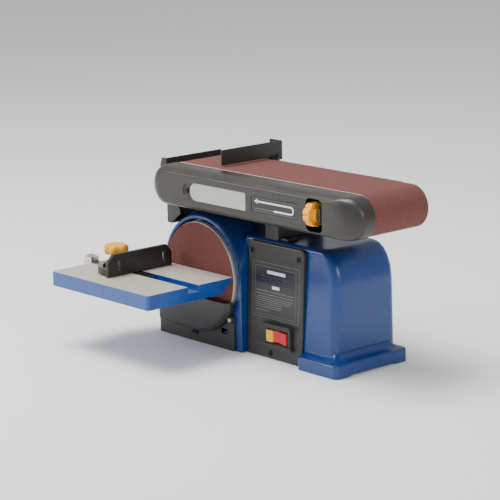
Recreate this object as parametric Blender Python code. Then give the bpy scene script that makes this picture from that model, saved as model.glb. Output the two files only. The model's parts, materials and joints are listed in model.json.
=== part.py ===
"""Bench combination sander: a 4 x 36 in belt over a 6 in disc, with a tilting table and a miter gauge.

X runs along the belt, Y from the disc to the back of the base, and Z up from the bench.
The origin is on the bench under the middle of the base. Sizes are in metres.
"""

from math import acos, cos, pi, radians, sin, sqrt

import bmesh
import bpy
from mathutils import Matrix, Vector

MM = 0.001

# ---------------------------------------------------------------- driving sizes

GAP = 0.3 * MM             # left between two pieces that touch
RUN = 0.3 * MM             # left round a shaft or a pin that turns
ARC_STEPS = 16             # facets round a small turned piece
WHEEL_STEPS = 24           # facets round a large turned piece

# abrasives
BELT_WIDTH = 101.6 * MM
BELT_LENGTH = 914.4 * MM
BELT_THICK = 1.2 * MM
DISC_RADIUS = 76.2 * MM
DISC_THICK = 1.0 * MM

# heights, all above the bench and stacked from the disc's axis
DISC_Z = 104 * MM
BODY_RISE = 64 * MM        # disc axis to the top of the base
DISC_GAP = 4.3 * MM        # round the disc, inside its housing
RIM = 5.5 * MM             # front edge of the disc housing
HOUSING_FLARE = 8 * MM     # growth of the housing behind its front edge
ARM_RISE = 6.1 * MM        # top of the disc housing to the underside of the arm
COVER_RADIUS = 29.5 * MM   # half the height of the arm's side cover

# places along X
DISC_X = -83 * MM
DRUM_X = -122 * MM
BASE_LEFT = -180 * MM
BASE_RIGHT = 180 * MM
FOOT_REACH = 21 * MM       # how far a foot stands out past the side wall
PANEL_LEFT = 2.8 * MM
PANEL_WIDTH = 116 * MM

# depths, stacked from the front face of the disc housing to the back
BELT_INSET = 1.0 * MM
BEAM_GAP = 1.9 * MM
BEAM_DEPTH = 18 * MM
SUPPORT_THICK = 10 * MM
BACK_MARGIN = 3.5 * MM
FOOT_PROUD = 3.5 * MM
COVER_DEPTH = 36 * MM
PULLEY_WIDTH = 9 * MM

# base casting
WALL = 4 * MM
FACE_SETBACK = 11.5 * MM   # front wall behind the housing's front face, at the bench
FACE_LEAN = 12.5 * MM      # and how much further back it is at the top
BACK_LEAN = 3 * MM
SHOULDER_WIDTH = 36 * MM
SHOULDER_HEIGHT = 50 * MM
TOP_ROUND = 6 * MM
CORNER_ROUND = 14 * MM
FOOT_HEIGHT = 19.6 * MM
HOUSING_DEPTH = 50 * MM
RECESS_DEPTH = 14 * MM

# shafts, drums and pulleys
SHAFT_RADIUS = 8 * MM
AXLE_RADIUS = 6 * MM
BEARING_RADIUS = 15 * MM
BEARING_WIDTH = 10 * MM
MOTOR_PULLEY_RADIUS = 15 * MM
DRUM_PULLEY_RADIUS = 17 * MM
DRIVE_BELT_THICK = 2.2 * MM
TENSION_TRAVEL = 6 * MM    # how far the idler drum slides back to free the belt

# table and miter gauge
TABLE_Z = 8 * MM           # table's surface above the disc's axis
TABLE_DEPTH = 155 * MM
TABLE_OVERHANG = 48 * MM   # table's left edge past the housing's flank
TABLE_EDGE = 21.3 * MM
TABLE_TOP_THICK = 13.5 * MM
TABLE_SKIRT = 6 * MM
TABLE_GAP = 3 * MM         # table's edge to the face of the abrasive disc
SLOT_WIDTH = 19.6 * MM
SLOT_DEPTH = 9.6 * MM
SLOT_CENTRE = 73 * MM      # from the table's edge by the disc
TILT_ARC = 50 * MM         # radius of the arc slot in the trunnion
TILT_RANGE = 38
MITER_FACE_X = -130 * MM
MITER_LENGTH = 117 * MM
MITER_HEIGHT = 32 * MM
MITER_ARC = 38 * MM        # pivot to lock stud
MITER_SWING = 60           # degrees each way

# miter gauge's knob, bar and head
MITER_DECK_RADIUS = 50 * MM
MITER_DECK_THICK = 9 * MM
MITER_FACE_THICK = 6 * MM
MITER_PIVOT_BACK = 12 * MM     # pivot behind the face
MITER_BAR_TAIL = 118 * MM      # bar's left end behind the face
MITER_BAR_NOSE = 30 * MM
MITER_KNOB_RADIUS = 16.5 * MM

# disc guard, front plate and end guard
SHEET_THICK = 3 * MM
GUARD_RISE = 31 * MM           # disc's axis above the guard's top edge
GUARD_DEPTH = 15.5 * MM
GUARD_WALL = 2.4 * MM
PLATE_DROP = 0.646             # disc's axis above the front plate's top edge, over the recess's radius
EAR_ANGLE = radians(-40.4)     # where the guard's upper ear stands round the disc

# switch panel
PANEL_LEAN = radians(2.95)
PANEL_SETBACK = 8.5 * MM       # its face behind the housing's front, at the bench
PANEL_DROP = 3.2 * MM          # top of the base to the panel's top edge
PANEL_EDGE = 1.5 * MM
PANEL_CORNER = 6 * MM
KEY_WIDTH = 13.5 * MM

# outlets on the back
PORT_RADIUS = 29 * MM
PORT_STEPS = 24
GLAND_RADIUS = 8 * MM
FLANGE_THICK = 3 * MM

# arm
ARM_WALL = 4 * MM
STOP_THICK = 2.5 * MM
STOP_HEIGHT = 22.5 * MM
KNOB_RADIUS = 17.5 * MM
KNOB_THICK = 12 * MM
ROD_RADIUS = 3 * MM
LEVER_PIN = 4 * MM
LEVER_THICK = 6 * MM
YOKE_THICK = 6 * MM
COVER_WALL = 3 * MM
COVER_DOME = 19.8 * MM         # depth over which the cover's outline draws in
COVER_NOSE = 46 * MM           # and by how much, at its nose, its tail and its long edges
COVER_TAIL = 24 * MM
COVER_EDGE = 9 * MM
COVER_PLATE_HALF = 12.7 * MM
LABEL_HALF = 10.8 * MM
KNOB_SLOT_HALF = 22.5 * MM
PLATE_THICK = 1.2 * MM
LABEL_THICK = 0.4 * MM

# fasteners
SCREW_RADIUS = 3.6 * MM
PANEL_SCREW_RADIUS = 3.8 * MM
SCREW_WAY = 2.4 * MM           # radius of the hole a screw's shank goes through
STUD_RADIUS = 4 * MM

# ---------------------------------------------------------------- worked-out places

STACK = (BELT_INSET + BELT_WIDTH + BEAM_GAP + BEAM_DEPTH + 1 * MM + SUPPORT_THICK + BACK_MARGIN)
FRONT = -(STACK + FOOT_PROUD) / 2 + FOOT_PROUD   # front face of the disc housing
BELT_FRONT = FRONT + BELT_INSET
BELT_BACK = BELT_FRONT + BELT_WIDTH
BEAM_FRONT = BELT_BACK + BEAM_GAP
BEAM_BACK = BEAM_FRONT + BEAM_DEPTH
SUPPORT_FRONT = BEAM_BACK + 1 * MM
SUPPORT_BACK = SUPPORT_FRONT + SUPPORT_THICK
BASE_BACK = SUPPORT_BACK + BACK_MARGIN
PULLEY_FRONT = BASE_BACK + 4 * MM
PULLEY_BACK = PULLEY_FRONT + PULLEY_WIDTH
COVER_BACK = FRONT - 1 * MM
COVER_FRONT = COVER_BACK - COVER_DEPTH

BASE_TOP = DISC_Z + BODY_RISE
RECESS_RADIUS = DISC_RADIUS + DISC_GAP
HOUSING_RADIUS = RECESS_RADIUS + RIM
ARCH_RADIUS = HOUSING_RADIUS + HOUSING_FLARE
FLANK = min(BASE_LEFT, DISC_X - ARCH_RADIUS)
BELT_Z = DISC_Z + ARCH_RADIUS + ARM_RISE + COVER_RADIUS

ROLL_RADIUS = COVER_RADIUS - 0.05 * MM
DRUM_RADIUS = ROLL_RADIUS - BELT_THICK - GAP
IDLER_X = DRUM_X + (BELT_LENGTH - 2 * pi * (ROLL_RADIUS - BELT_THICK / 2)) / 2

DISC_FACE = FRONT - 5 * MM
DISC_BACK = FRONT + 5.5 * MM
MOTOR_RADIUS = BODY_RISE - WALL - 4 * MM
MOTOR_FRONT = FRONT + RECESS_DEPTH + WALL + GAP
MOTOR_BACK = BASE_BACK - WALL - BACK_LEAN - 20 * MM

TABLE_TOP = DISC_Z + TABLE_Z
TABLE_BACK = DISC_FACE - TABLE_GAP
TABLE_FRONT = TABLE_BACK - TABLE_DEPTH
TABLE_RIGHT = DISC_X + DISC_RADIUS + 2.9 * MM
TABLE_LEFT = FLANK - TABLE_OVERHANG
SLOT_Y = TABLE_BACK - SLOT_CENTRE
TRUNNION_X = FLANK - 11 * MM

DISC_AXIS = (DISC_X, DISC_Z)
DRUM_AXIS = (DRUM_X, BELT_Z)
PORT_CENTRE = (BASE_RIGHT - 105 * MM, DISC_Z - 22 * MM)
GLAND_CENTRE = (BASE_RIGHT - 32 * MM, 40 * MM)

PANEL_FOOT = FRONT + PANEL_SETBACK
PANEL_TOP = BASE_TOP - PANEL_DROP
PANEL_SCREWS = {
    "panel_screw_1": (PANEL_LEFT + 9 * MM, PANEL_TOP - 13 * MM),
    "panel_screw_2": (PANEL_LEFT + PANEL_WIDTH - 10 * MM, PANEL_TOP - 14 * MM),
    "panel_screw_3": (PANEL_LEFT + 51.6 * MM, 8 * MM),
}
SWITCH_X = (PANEL_LEFT + 43 * MM, PANEL_LEFT + 97 * MM)
SWITCH_Z = (22 * MM, 51 * MM)
ROCKER_X = (SWITCH_X[0] + 6 * MM, SWITCH_X[1] - 7 * MM)
ROCKER_Z = (SWITCH_Z[0] + 5 * MM, SWITCH_Z[1] - 7 * MM)

SLEEVE_RADIUS = BEARING_RADIUS + 4 * MM
BEAM_HALF = DRUM_RADIUS - 2.95 * MM   # half the height of the beam behind the belt
CHANNEL_X = (DRUM_X + DRUM_RADIUS + 4 * MM, IDLER_X - DRUM_RADIUS - TENSION_TRAVEL - 3 * MM)
CHANNEL_Z = (BELT_Z - 21 * MM, BELT_Z + DRUM_RADIUS - 3.1 * MM)
STOP_X = DRUM_X + 74 * MM
LEVER_X = DRUM_X + 232 * MM
KNOB_X = CHANNEL_X[1] - 17.6 * MM
KNOB_Y = COVER_FRONT + 8.4 * MM
YOKE_FRONT = BEAM_BACK - 10 * MM
AXLE_FRONT = KNOB_Y - 2 * MM
LABEL_X = (KNOB_X - 118 * MM, KNOB_X - 25 * MM)
COVER_PLATE_X = (DRUM_X + 62 * MM, LABEL_X[0] - 12.5 * MM)
KNOB_SLOT_X = (KNOB_X - 8 * MM, KNOB_X + 23 * MM)

COVER_SCREW_Z = BASE_TOP + 22 * MM
COVER_SCREW = (DISC_X + (DRUM_X - DISC_X) * (COVER_SCREW_Z - DISC_Z) / (BELT_Z - DISC_Z), COVER_SCREW_Z)

# ---------------------------------------------------------------- materials

MATERIALS = {
    "base_blue": ((0.006, 0.040, 0.190), 0.38, 0.0),
    "table_blue": ((0.006, 0.055, 0.240), 0.35, 0.0),
    "black_plastic": ((0.042, 0.040, 0.036), 0.45, 0.0),
    "dark_plastic": ((0.045, 0.045, 0.042), 0.5, 0.0),
    "black_steel": ((0.030, 0.028, 0.026), 0.4, 0.0),
    "zinc_steel": ((0.55, 0.55, 0.55), 0.3, 1.0),
    "ground_steel": ((0.60, 0.60, 0.60), 0.22, 1.0),
    "cast_aluminium": ((0.50, 0.50, 0.50), 0.4, 1.0),
    "arm_casting": ((0.045, 0.045, 0.042), 0.5, 0.0),
    "abrasive": ((0.16, 0.045, 0.040), 0.9, 0.0),
    "light_plate": ((0.46, 0.47, 0.43), 0.4, 0.0),
    "label_black": ((0.010, 0.010, 0.010), 0.3, 0.0),
    "knob_orange": ((0.90, 0.42, 0.01), 0.35, 0.0),
    "key_yellow": ((0.95, 0.50, 0.02), 0.35, 0.0),
    "rocker_red": ((0.65, 0.02, 0.03), 0.3, 0.0),
    "rubber_black": ((0.015, 0.015, 0.015), 0.7, 0.0),
    }


def material(slot):
    """The Principled material of a slot, made the first time it is asked for."""
    found = bpy.data.materials.get(slot)
    if found:
        return found
    colour, roughness, metallic = MATERIALS[slot]
    made = bpy.data.materials.new(slot)
    made.use_nodes = True
    shader = made.node_tree.nodes["Principled BSDF"]
    shader.inputs["Base Color"].default_value = (*colour, 1)
    shader.inputs["Roughness"].default_value = roughness
    shader.inputs["Metallic"].default_value = metallic
    made.diffuse_color = (*colour, 1)
    return made


# ---------------------------------------------------------------- shapes


def solid(name, mesh, slot):
    """An object from a closed bmesh, with its faces pointing out and its round faces smooth."""
    bmesh.ops.remove_doubles(mesh, verts=mesh.verts, dist=0.00001)
    bmesh.ops.recalc_face_normals(mesh, faces=mesh.faces)
    data = bpy.data.meshes.new(name)
    mesh.to_mesh(data)
    mesh.free()
    data.shade_smooth()
    data.set_sharp_from_angle(angle=radians(32))
    data.materials.append(material(slot))
    made = bpy.data.objects.new(name, data)
    bpy.context.scene.collection.objects.link(made)
    return made


def loft(name, rings, slot="base_blue"):
    """A closed body through rings of equally many points, with flat ends."""
    mesh = bmesh.new()
    rows = [[mesh.verts.new(point) for point in ring] for ring in rings]
    count = len(rows[0])
    for low, high in zip(rows, rows[1:]):
        for i in range(count):
            j = (i + 1) % count
            mesh.faces.new((low[i], low[j], high[j], high[i]))
    mesh.faces.new(rows[0])
    mesh.faces.new(rows[-1])
    return solid(name, mesh, slot)


def placed(axis, a, b, t):
    """The point at (a, b) in the plane across the axis and at t along it."""
    return {"X": (t, a, b), "Y": (a, t, b), "Z": (a, b, t)}[axis]


def prism(name, outline, axis, low, high, slot="base_blue"):
    """An outline across an axis, carried from low to high along it."""
    return loft(name, [[placed(axis, a, b, t) for a, b in outline] for t in (low, high)], slot)


def box(name, x, y, z, slot="base_blue"):
    outline = [(x[0], y[0]), (x[1], y[0]), (x[1], y[1]), (x[0], y[1])]
    return prism(name, outline, "Z", z[0], z[1], slot)


def turned(name, profile, axis, centre, slot="zinc_steel", steps=ARC_STEPS):
    """A closed profile of (radius, distance along the axis), spun once round the axis."""
    mesh = bmesh.new()
    points = []
    for radius, along in profile:
        a, b = centre
        points.append(mesh.verts.new(placed(axis, a + radius, b, along)))
    edges = [mesh.edges.new((points[i], points[(i + 1) % len(points)])) for i in range(len(points))]
    middle = placed(axis, centre[0], centre[1], 0)
    bmesh.ops.spin(
        mesh, geom=points + edges, cent=middle, axis=placed(axis, 0, 0, 1), angle=2 * pi,
        steps=steps, use_merge=True,
    )
    on_axis = [edge for edge in mesh.edges if not edge.link_faces]
    bmesh.ops.delete(mesh, geom=on_axis, context="EDGES")
    bmesh.ops.dissolve_degenerate(mesh, dist=0.000001, edges=mesh.edges)
    return solid(name, mesh, slot)


def disc(name, radius, axis, centre, low, high, slot="zinc_steel", steps=ARC_STEPS):
    """A plain cylinder across an axis."""
    return prism(name, circle(centre, radius, steps), axis, low, high, slot)


def tube(name, outer, inner, axis, low, high, slot):
    """A prism with a hole right through it: two outlines of equally many points."""
    mesh = bmesh.new()
    rings = [(outline, t) for outline, t in ((outer, low), (outer, high), (inner, high), (inner, low))]
    rows = [[mesh.verts.new(placed(axis, a, b, t)) for a, b in outline] for outline, t in rings]
    count = len(outer)
    for low_row, high_row in zip(rows, rows[1:] + rows[:1]):
        for i in range(count):
            j = (i + 1) % count
            mesh.faces.new((low_row[i], low_row[j], high_row[j], high_row[i]))
    return solid(name, mesh, slot)


def arc(centre, radius, start, end, steps):
    """Points along an arc, in degrees, both ends included."""
    turn = radians(end - start) / steps
    first = radians(start)
    return [
        (centre[0] + radius * cos(first + i * turn), centre[1] + radius * sin(first + i * turn))
        for i in range(steps + 1)
    ]


def circle(centre, radius, steps=ARC_STEPS):
    return arc(centre, radius, 0, 360, steps)[:-1]


def rounded(x, y, radius, steps=4):
    """A rectangle with rounded corners. radius is one value or four, from the low corner round."""
    r = radius if isinstance(radius, (list, tuple)) else [radius] * 4
    corners = [(x[0], y[0], 1, 1), (x[1], y[0], -1, 1), (x[1], y[1], -1, -1), (x[0], y[1], 1, -1)]
    points = []
    for i, (a, b, da, db) in enumerate(corners):
        points += arc((a + da * r[i], b + db * r[i]), r[i], 180 + 90 * i, 270 + 90 * i, steps)
    return points


def stadium(left, right, middle, radius, steps=12):
    """Two half circles joined by straight runs: left and right are the circles' centres."""
    return arc((right, middle), radius, -90, 90, steps) + arc((left, middle), radius, 90, 270, steps)


def wrapped(a, ra, b, rb, steps=16):
    """The outline of a band pulled tight round two circles, a below b."""
    away = Vector(b) - Vector(a)
    lean = acos((ra - rb) / away.length)
    up = Vector((1, 0)).angle_signed(away)
    heading = -up
    start = (heading + lean) * 180 / pi
    end = (heading - lean) * 180 / pi
    return arc(a, ra, start, end + 360, steps) + arc(b, rb, end, start, steps)


def lobed(centre, radius, wave, lobes, steps=4):
    """A round outline that waves in and out, for a knob's grip."""
    points = []
    for i in range(lobes * steps):
        turn = 2 * pi * i / (lobes * steps)
        reach = radius + wave * cos(lobes * turn)
        points.append((centre[0] + reach * cos(turn), centre[1] + reach * sin(turn)))
    return points


def helper(cutter):
    cutter.hide_render = True
    cutter.display_type = "WIRE"
    return cutter


def boolean(target, other, operation):
    modifier = target.modifiers.new(other.name, "BOOLEAN")
    modifier.operation = operation
    modifier.solver = "EXACT"
    modifier.object = helper(other)
    return target


def cut(target, *cutters):
    for cutter in cutters:
        boolean(target, cutter, "DIFFERENCE")
    return target


def join(target, *others):
    for other in others:
        boolean(target, other, "UNION")
    return target


def on_axis(name, location, *pieces, parent=None):
    """An empty on a joint's axis, with the pieces that turn or slide there as its children."""
    empty = bpy.data.objects.new(name, None)
    bpy.context.scene.collection.objects.link(empty)
    empty.location = location
    if parent:
        empty.parent = parent
        empty.matrix_parent_inverse = Matrix.Translation(-parent.location)
    for piece in pieces:
        piece.parent = empty
        piece.matrix_parent_inverse = Matrix.Translation(-Vector(location))
    return empty


def screw(name, axis, centre, face, out, length, radius=SCREW_RADIUS, slot="zinc_steel"):
    """A pan head screw: its head stands out of the face, and its shank goes in by length."""
    head = face + out * 2.2 * MM
    seat = face + out * GAP
    profile = [(0, head), (radius * 0.7, head), (radius, head - out * 0.9 * MM), (radius, seat)]
    profile += [(radius * 0.5, seat), (radius * 0.5, face - out * length), (0, face - out * length)]
    return turned(name, profile, axis, centre, slot, steps=12)


# ---------------------------------------------------------------- base


def quarter(u):
    """How far a round edge has come in, from 0 to 1, at the fraction u of its height."""
    return 1 - sqrt(max(0, 1 - u * u))


def body_section(z, wall):
    """The base's outline at a height, drawn in by a wall's thickness."""
    shoulder = SHOULDER_WIDTH * quarter(max(0, z - BASE_TOP + SHOULDER_HEIGHT) / SHOULDER_HEIGHT)
    edge = TOP_ROUND * quarter(max(0, z - BASE_TOP + TOP_ROUND) / TOP_ROUND)
    front = FRONT + FACE_SETBACK + FACE_LEAN * z / BASE_TOP + edge + wall
    back = BASE_BACK - BACK_LEAN * z / BASE_TOP - edge - wall
    x = (BASE_LEFT + shoulder + wall, BASE_RIGHT - shoulder - wall)
    return rounded(x, (front, back), CORNER_ROUND - wall)


def body_levels():
    """Heights of the sections, close together where the shoulder curves."""
    start = BASE_TOP - SHOULDER_HEIGHT
    return [start + SHOULDER_HEIGHT * sin(radians(a)) for a in (0, 20, 38, 54, 68, 80, 90)]


def foot(name, wall_x, tip_x, front, back):
    """A foot flange beside the base, with a fillet up to the side wall."""
    side = 1 if tip_x > wall_x else -1
    inner = wall_x - side * 60 * MM
    rings = []
    fillet = 14 * MM
    steps = [(0, 0), (FOOT_HEIGHT - 1.5 * MM, 0), (FOOT_HEIGHT, 1.5 * MM)]
    steps += [(FOOT_HEIGHT + fillet * quarter(u), FOOT_REACH * 0.35 + fillet * u) for u in (0.2, 0.7, 0.95)]
    for z, inset in steps:
        tip = tip_x - side * inset
        corner = 8 * MM
        outline = rounded(sorted((inner, tip)), (front + inset, back - inset * 0.5), corner)
        rings.append([(a, b, z) for a, b in outline])
    return loft(name, rings)


def housing_ring(y, radius):
    """The disc housing's outline at a depth: an arch on straight legs, flat beside the panel."""
    limit = PANEL_LEFT - 0.5 * MM - DISC_X
    start = acos(min(1, limit / radius)) * 180 / pi
    reach = min(limit, radius)
    points = [(DISC_X + reach, 0)] + arc((DISC_X, DISC_Z), radius, start, 180, 22)
    return [(a, y, b) for a, b in points + [(DISC_X - radius, 0)]]


def make_base():
    levels = body_levels()
    rings = [[(a, b, z) for a, b in body_section(z, 0)] for z in [0] + levels]
    casting = loft("base_casting", rings)
    arch = loft("housing_arch", [
        housing_ring(FRONT, HOUSING_RADIUS - 1.5 * MM),
        housing_ring(FRONT + 1.5 * MM, HOUSING_RADIUS),
        housing_ring(FRONT + FACE_SETBACK + FACE_LEAN, ARCH_RADIUS),
        housing_ring(FRONT + HOUSING_DEPTH - 4 * MM, ARCH_RADIUS),
        housing_ring(FRONT + HOUSING_DEPTH, ARCH_RADIUS - 4 * MM),
    ])
    right = foot("foot_right", BASE_RIGHT, BASE_RIGHT + FOOT_REACH, FRONT - FOOT_PROUD, BASE_BACK)
    left = foot("foot_left", BASE_LEFT, BASE_LEFT - FOOT_REACH, FRONT + 20 * MM, BASE_BACK)
    join(casting, arch, right, left)

    top = BASE_TOP - WALL
    heights = [-5 * MM] + [z - WALL for z in levels[:-1]] + [top - 0.1 * MM]
    rings = [[(a, b, z) for a, b in body_section(max(z, 0), WALL)] for z in heights[:-1]]
    rings.append([(a, b, top) for a, b in body_section(top, WALL)])
    cavity = loft("base_cavity", rings)
    inside = loft("housing_cavity", [
        [(a, y, max(b, -4 * MM)) for a, b in circle((DISC_X, DISC_Z), ARCH_RADIUS - WALL - 0.5 * MM, 24)]
        for y in (FRONT + RECESS_DEPTH + WALL, FRONT + HOUSING_DEPTH - WALL)
    ])
    recess = disc("disc_recess", RECESS_RADIUS, "Y", (DISC_X, DISC_Z), FRONT - 2 * MM,
                  FRONT + RECESS_DEPTH, steps=40)
    shaft_hole = disc("shaft_hole", SHAFT_RADIUS + 4 * MM, "Y", (DISC_X, DISC_Z),
                      FRONT + RECESS_DEPTH - 1 * MM, BASE_BACK + 5 * MM)
    window = box("switch_window", (SWITCH_X[0] - 1 * MM, SWITCH_X[1] + 1 * MM), (FRONT, FRONT + 40 * MM),
                 (SWITCH_Z[0] - 1 * MM, SWITCH_Z[1] + 1 * MM))
    port = disc("port_hole", PORT_RADIUS + 0.5 * MM, "Y", PORT_CENTRE, BASE_BACK - 30 * MM,
                BASE_BACK + 5 * MM, steps=PORT_STEPS)
    gland = disc("gland_hole", GLAND_RADIUS + 0.5 * MM, "Y", GLAND_CENTRE, BASE_BACK - 30 * MM,
                 BASE_BACK + 5 * MM, steps=ARC_STEPS)
    scallop = prism("foot_scallop", [
        (FRONT + 20 * MM, -1 * MM), (FRONT + 28 * MM, 3 * MM),
        (BASE_BACK - 28 * MM, 3 * MM), (BASE_BACK - 20 * MM, -1 * MM),
    ], "X", BASE_RIGHT + 6 * MM, BASE_RIGHT + FOOT_REACH + 5 * MM)
    cut(casting, cavity, inside, recess, shaft_hole, window, port, gland, scallop)
    for name, (x, z) in PANEL_SCREWS.items():
        cut(casting, disc(name + "_tap", 2.3 * MM, "Y", (x, z), FRONT, FRONT + 40 * MM, steps=12))

    inset = WALL + 0.5 * MM
    outline = body_section(0, inset)
    prism("bottom_plate", outline, "Z", 0, 1.5 * MM, "black_steel")


# ---------------------------------------------------------------- front plate and disc guard


def make_front_covers():
    """The flat plate closing the housing's front below the disc, and the bulged guard over it."""
    left = DISC_X - HOUSING_RADIUS - 10.6 * MM
    right = PANEL_LEFT - 13.1 * MM
    top = DISC_Z - PLATE_DROP * RECESS_RADIUS
    radius = RECESS_RADIUS - 1 * MM
    low = -90 - acos((DISC_Z - top) / radius) * 180 / pi
    bite = arc((DISC_X, DISC_Z), radius, low, -180 - low, 20)
    outline = [(left, 0.3 * MM), (right, 0.3 * MM), (right, top)] + bite[::-1] + [(left, top)]
    plate = prism("lower_front_plate", outline, "Y", FRONT - SHEET_THICK, FRONT - GAP, "dark_plastic")
    hole = (DISC_X + 45 * MM, DISC_X + 59 * MM)
    window_z = (DISC_Z - 81 * MM, DISC_Z - 73 * MM)
    cut(plate, box("plate_window", hole, (FRONT - 5 * MM, FRONT + 2 * MM), window_z))

    top = DISC_Z - GUARD_RISE
    sweep = RECESS_RADIUS + 3.7 * MM

    def guard_outline(inset):
        base = DISC_Z - RECESS_RADIUS - 1.5 * MM + inset
        edge = (DISC_X - HOUSING_RADIUS - 1.8 * MM + inset, DISC_X + HOUSING_RADIUS - 13 * MM - inset)
        reach = sweep - inset
        start = -acos(min(1, (edge[1] - DISC_X) / reach)) * 180 / pi
        bend = arc((DISC_X, DISC_Z), reach, -90, start, 12)
        low_left = [(edge[0] + 3 * MM, base - 1 * MM), (edge[0], base + 2 * MM)]
        return [(edge[0], top)] + low_left[::-1] + bend + [(edge[1], top)]

    face = FRONT - SHEET_THICK - GAP
    depths = [(face, 0), (FRONT - 9 * MM, 0.4 * MM), (FRONT - 13 * MM, 2.5 * MM)]
    depths += [(FRONT - GUARD_DEPTH, 6.5 * MM)]
    rings = [[(a, y, b) for a, b in guard_outline(inset)] for y, inset in depths]
    guard = loft("disc_guard", rings, "dark_plastic")
    wall = GUARD_WALL
    inner = [(FRONT, wall), (FRONT - 9 * MM, wall + 0.4 * MM), (FRONT - 13 * MM, wall + 3 * MM)]
    hollow = []
    for y, inset in inner:
        outline = [(a, b + 8 * MM if b == top else b) for a, b in guard_outline(inset)]
        hollow.append([(a, y, b) for a, b in outline])
    cut(guard, loft("guard_cavity", hollow))
    reach = RECESS_RADIUS + 7.5 * MM
    ears = {
        "guard_screw_1": (DISC_X + reach * cos(EAR_ANGLE), DISC_Z + reach * sin(EAR_ANGLE)),
        "guard_screw_2": (DISC_X - 14 * MM, DISC_Z - RECESS_RADIUS - 7 * MM),
    }
    for name, centre in ears.items():
        ear = disc(name + "_ear", 6 * MM, "Y", centre, face - 3 * MM, face, steps=16)
        join(guard, ear)
    for name, centre in ears.items():
        cut(guard, disc(name + "_hole", SCREW_WAY, "Y", centre, face - 12 * MM, face + 1 * MM, steps=12))
        cut(plate, disc(name + "_tap", SCREW_WAY, "Y", centre, face - 1 * MM, FRONT + 1 * MM, steps=12))
        screw(name, "Y", centre, face - 3 * MM, -1, 5.2 * MM)


# ---------------------------------------------------------------- switch panel


def panel_face(z):
    """Y of the panel's front face at a height."""
    return PANEL_FOOT + z * sin(PANEL_LEAN) / cos(PANEL_LEAN)


def wall_face(z):
    """Y of the base's front wall at a height."""
    return FRONT + FACE_SETBACK + FACE_LEAN * z / BASE_TOP


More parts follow.
